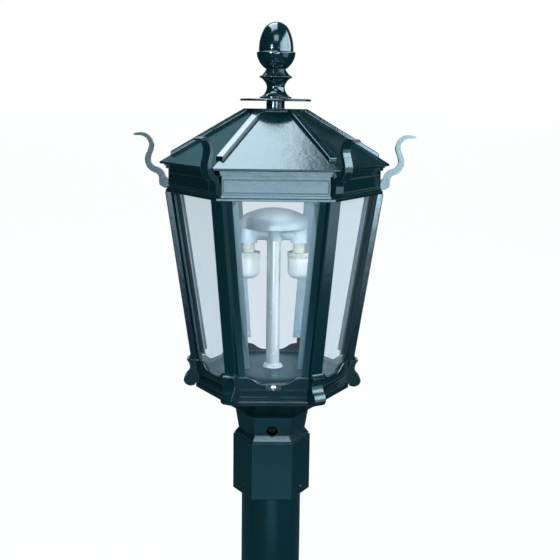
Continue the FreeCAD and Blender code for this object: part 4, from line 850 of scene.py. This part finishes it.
# spun dome with a rolled rim and a shallow bead round the land
def dome():
    look = domeLook
    low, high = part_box("burner_dome")
    radius, rim, top, wall = high.x, low.z, high.z, look["wall"]
    shoulder, drop = look["shoulder"]
    land, half, flat = look["land"], look["beadHalf"], top - look["landDrop"]
    outline = [
        (radius - wall, rim), (radius, rim + look["rimRoll"], 90), (radius, rim + look["skirt"]),
        (shoulder, top - drop, 41), (land + half, flat, 22), (land, top - look["beadDrop"], 20),
        (land - half, flat, 20), (0, flat), (0, top - wall), (land, top - wall),
        (shoulder - wall * 0.6, top - drop - wall * 0.8, -25), (radius - wall, rim + look["skirt"], -41),
    ]
    mesh = lathe("dome", outline, look["sides"])
    mount(newPiece("burner_dome_finished", mesh, finishes["spunDome"]), "burner_dome")


pipeLook = {"wall": 0.0023, "chamfer": 0.0006, "threads": 5, "pitch": 0.0014, "threadDepth": 0.0003,
            "flank": 0.0004, "sides": 64}


def riserPipe():
    look = pipeLook
    low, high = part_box("gas_riser")
    radius, bore = high.x, high.x - look["wall"]
    chamfer, flank = look["chamfer"], look["flank"]
    outline = [(bore, low.z), (radius - chamfer, low.z), (radius, low.z + chamfer)]
    # thread crests at the lower end, where the pipe screws into the cock
    for turn in range(look["threads"]):
        level = low.z + look["pitch"] + turn * look["pitch"]
        outline += [(radius, level), (radius - look["threadDepth"], level + flank),
                    (radius, level + 2 * flank)]
    outline += [(radius, high.z - chamfer), (radius - chamfer, high.z), (bore, high.z)]
    mesh = lathe("riserPipe", outline, look["sides"])
    mount(newPiece("gas_riser_finished", mesh, finishes["brightPipe"]), "gas_riser")


# a knitted bag: ribs run down it and gather into the rounded end
mantleLook = {"wall": 0.0007, "tip": 0.0004, "tipRise": 0.0002, "round": 0.010, "roundTurn": 88, "ribs": 30,
              "ribDepth": 0.00018, "sag": 0.00022, "waves": 4, "crease": 60}


def knitMantle(side, seed):
    look = mantleLook
    node = "mantle_" + side
    low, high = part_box(node)
    radius = (high.x - low.x) / 2
    centre = (low.x + high.x) / 2
    height = high.z - low.z
    chance = random.Random(seed)
    waves = [(chance.randint(2, 5), chance.uniform(0, math.tau), chance.uniform(60, 160))
             for _ in range(look["waves"])]
    shell = bmesh.new()
    rings = []
    sides = look["ribs"] * 4
    profile = drawOutline([(look["tip"], low.z), (radius - look["round"], low.z + look["tipRise"]),
                           (radius, low.z + look["round"], look["roundTurn"]), (radius, high.z)], 6)
    # one more ring halfway along each step above the tip
    profile = profile[:2] + [start.lerp(end, share) for start, end in zip(profile[1:], profile[2:])
                             for share in (0.5, 1)]
    for point in profile:
        rise = (point.y - low.z) / height
        ring = []
        for i in range(sides):
            angle = math.tau * i / sides
            sway = sum(math.cos(count * angle + start + pitch * point.y) for count, start, pitch in waves)
            rib = abs(math.sin(look["ribs"] * angle / 2))
            sag = look["sag"] * (1 + sway / look["waves"]) * math.sin(math.pi * min(1, rise))
            inset = look["ribDepth"] * (1 - rib) + sag
            reach = max(0.0001, point.x - inset * min(1, point.x / radius * 1.5))
            ring.append(shell.verts.new((centre + reach * math.cos(angle), reach * math.sin(angle), point.y)))
        rings.append(ring)
    for lower, upper in zip(rings, rings[1:]):
        for i in range(sides):
            beside = (i + 1) % sides
            shell.faces.new((lower[i], lower[beside], upper[beside], upper[i]))
    shell.faces.new(list(reversed(rings[0])))
    bmesh.ops.recalc_face_normals(shell, faces=shell.faces)
    piece = newPiece(node + "_finished", toMesh(shell, node, look["crease"]), finishes["mantleKnit"])
    thick = piece.modifiers.new("wall", "SOLIDIFY")
    thick.thickness = look["wall"]
    thick.offset = -1
    mount(piece, node)


# two turned nozzles, each with a rounded lip and a shallow groove round it
nozzleLook = {"bore": 0.0050, "lip": 0.0006, "grooveFrom": 0.0090, "grooveTo": 0.0106, "grooveDepth": 0.0004,
              "sides": 64}


def nozzles():
    look = nozzleLook
    low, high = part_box("burner_nozzles")
    radius = (high.y - low.y) / 2
    spread = high.x - radius
    bore, lip, depth = look["bore"], look["lip"], look["grooveDepth"]
    start, end = low.z + look["grooveFrom"], low.z + look["grooveTo"]
    outline = [(bore, low.z), (radius - lip, low.z), (radius, low.z + lip, 60), (radius, start),
               (radius - depth, start + depth), (radius - depth, end - depth), (radius, end),
               (radius, high.z), (bore, high.z)]
    pair = bmesh.new()
    for centre in (-spread, spread):
        pair.from_mesh(lathe("nozzle", outline, look["sides"], (centre, 0)))
    mount(newPiece("burner_nozzles_finished", toMesh(pair, "nozzles"), finishes["burnerCeramic"]),
          "burner_nozzles")


finial()
dripDisc()
dome()
riserPipe()
knitMantle("left", 17)
knitMantle("right", 18)
nozzles()
roundedNode("mantle_rings", 0.0005, 3)
roundedNode("burner_manifold", 0.0009, 3)
print("turned pieces done")


stageLook = {"floorLevel": -0.34, "reach": 60.0, "glow": 0.95, "postRadius": 0.0381, "postTop": 0.067}


def floorFinish():
    finish = Finish("paleFloor")
    cloud = finish.noise(3, 3)
    colour = finish.blend(cloud, shade(0.016, 0.040, 0.048), shade(0.019, 0.047, 0.056))
    # white where the camera sees it; the object meets only its colour
    finish.paint(Base_Color=colour, Roughness=0.8, Specular_IOR_Level=0.1)
    seen = finish.add("ShaderNodeLightPath", out="Is Camera Ray")
    finish.paint(Emission_Color=shade(1, 1, 1), Emission_Strength=seen * stageLook["glow"])
    return finish.material


def stage():
    look = stageLook
    shell = bmesh.new()
    bmesh.ops.create_grid(shell, x_segments=2, y_segments=2, size=look["reach"])
    bmesh.ops.translate(shell, vec=(0, 0, look["floorLevel"]), verts=shell.verts)
    newPiece("floor", toMesh(shell, "floor"), floorFinish())
    radius, foot, top = look["postRadius"], look["floorLevel"], look["postTop"]
    outline = [(0, foot), (radius, foot), (radius, top), (0, top)]
    newPiece("stand", lathe("stand", outline), finishes["castEnamel"])


# white behind and through the object; away from the backdrop the room is darker in reflections
roomLook = {"ambient": 0.80, "dark": 0.022, "cast": (0.66, 0.91, 1.0), "backdropStart": 0.86,
            "backdropEnd": 0.95}


def room():
    look = roomLook
    world = bpy.data.worlds.new("studio")
    scene.world = world
    world.use_nodes = True
    graph = Graph(world.node_tree)
    path = world.node_tree.nodes.new("ShaderNodeLightPath")
    seen = Wire(graph, path.outputs["Is Camera Ray"]) + Wire(graph, path.outputs["Is Transmission Ray"])
    glossy = Wire(graph, path.outputs["Is Glossy Ray"])
    direction = graph.add("ShaderNodeTexCoord", out="Generated")
    behind = graph.add("ShaderNodeSeparateXYZ", None, {0: direction}, out="Y")
    span = look["backdropEnd"] - look["backdropStart"]
    backdrop = ((behind - look["backdropStart"]) / span).clamped()
    mirrored = look["dark"] + backdrop * (1 - look["dark"])
    strength = seen + (1 - seen) * (glossy * mirrored + (1 - glossy) * look["ambient"])
    white = (seen + glossy * backdrop).clamped()
    tinted = graph.add("ShaderNodeMix", {"data_type": "RGBA"},
                       {0: white, 6: shade(*look["cast"]), 7: shade(1, 1, 1)}, out=2)
    surface = world.node_tree.nodes["Background"]
    graph.feed(surface.inputs["Color"], tinted)
    graph.feed(surface.inputs["Strength"], strength)


stage()
room()
print("stage set")
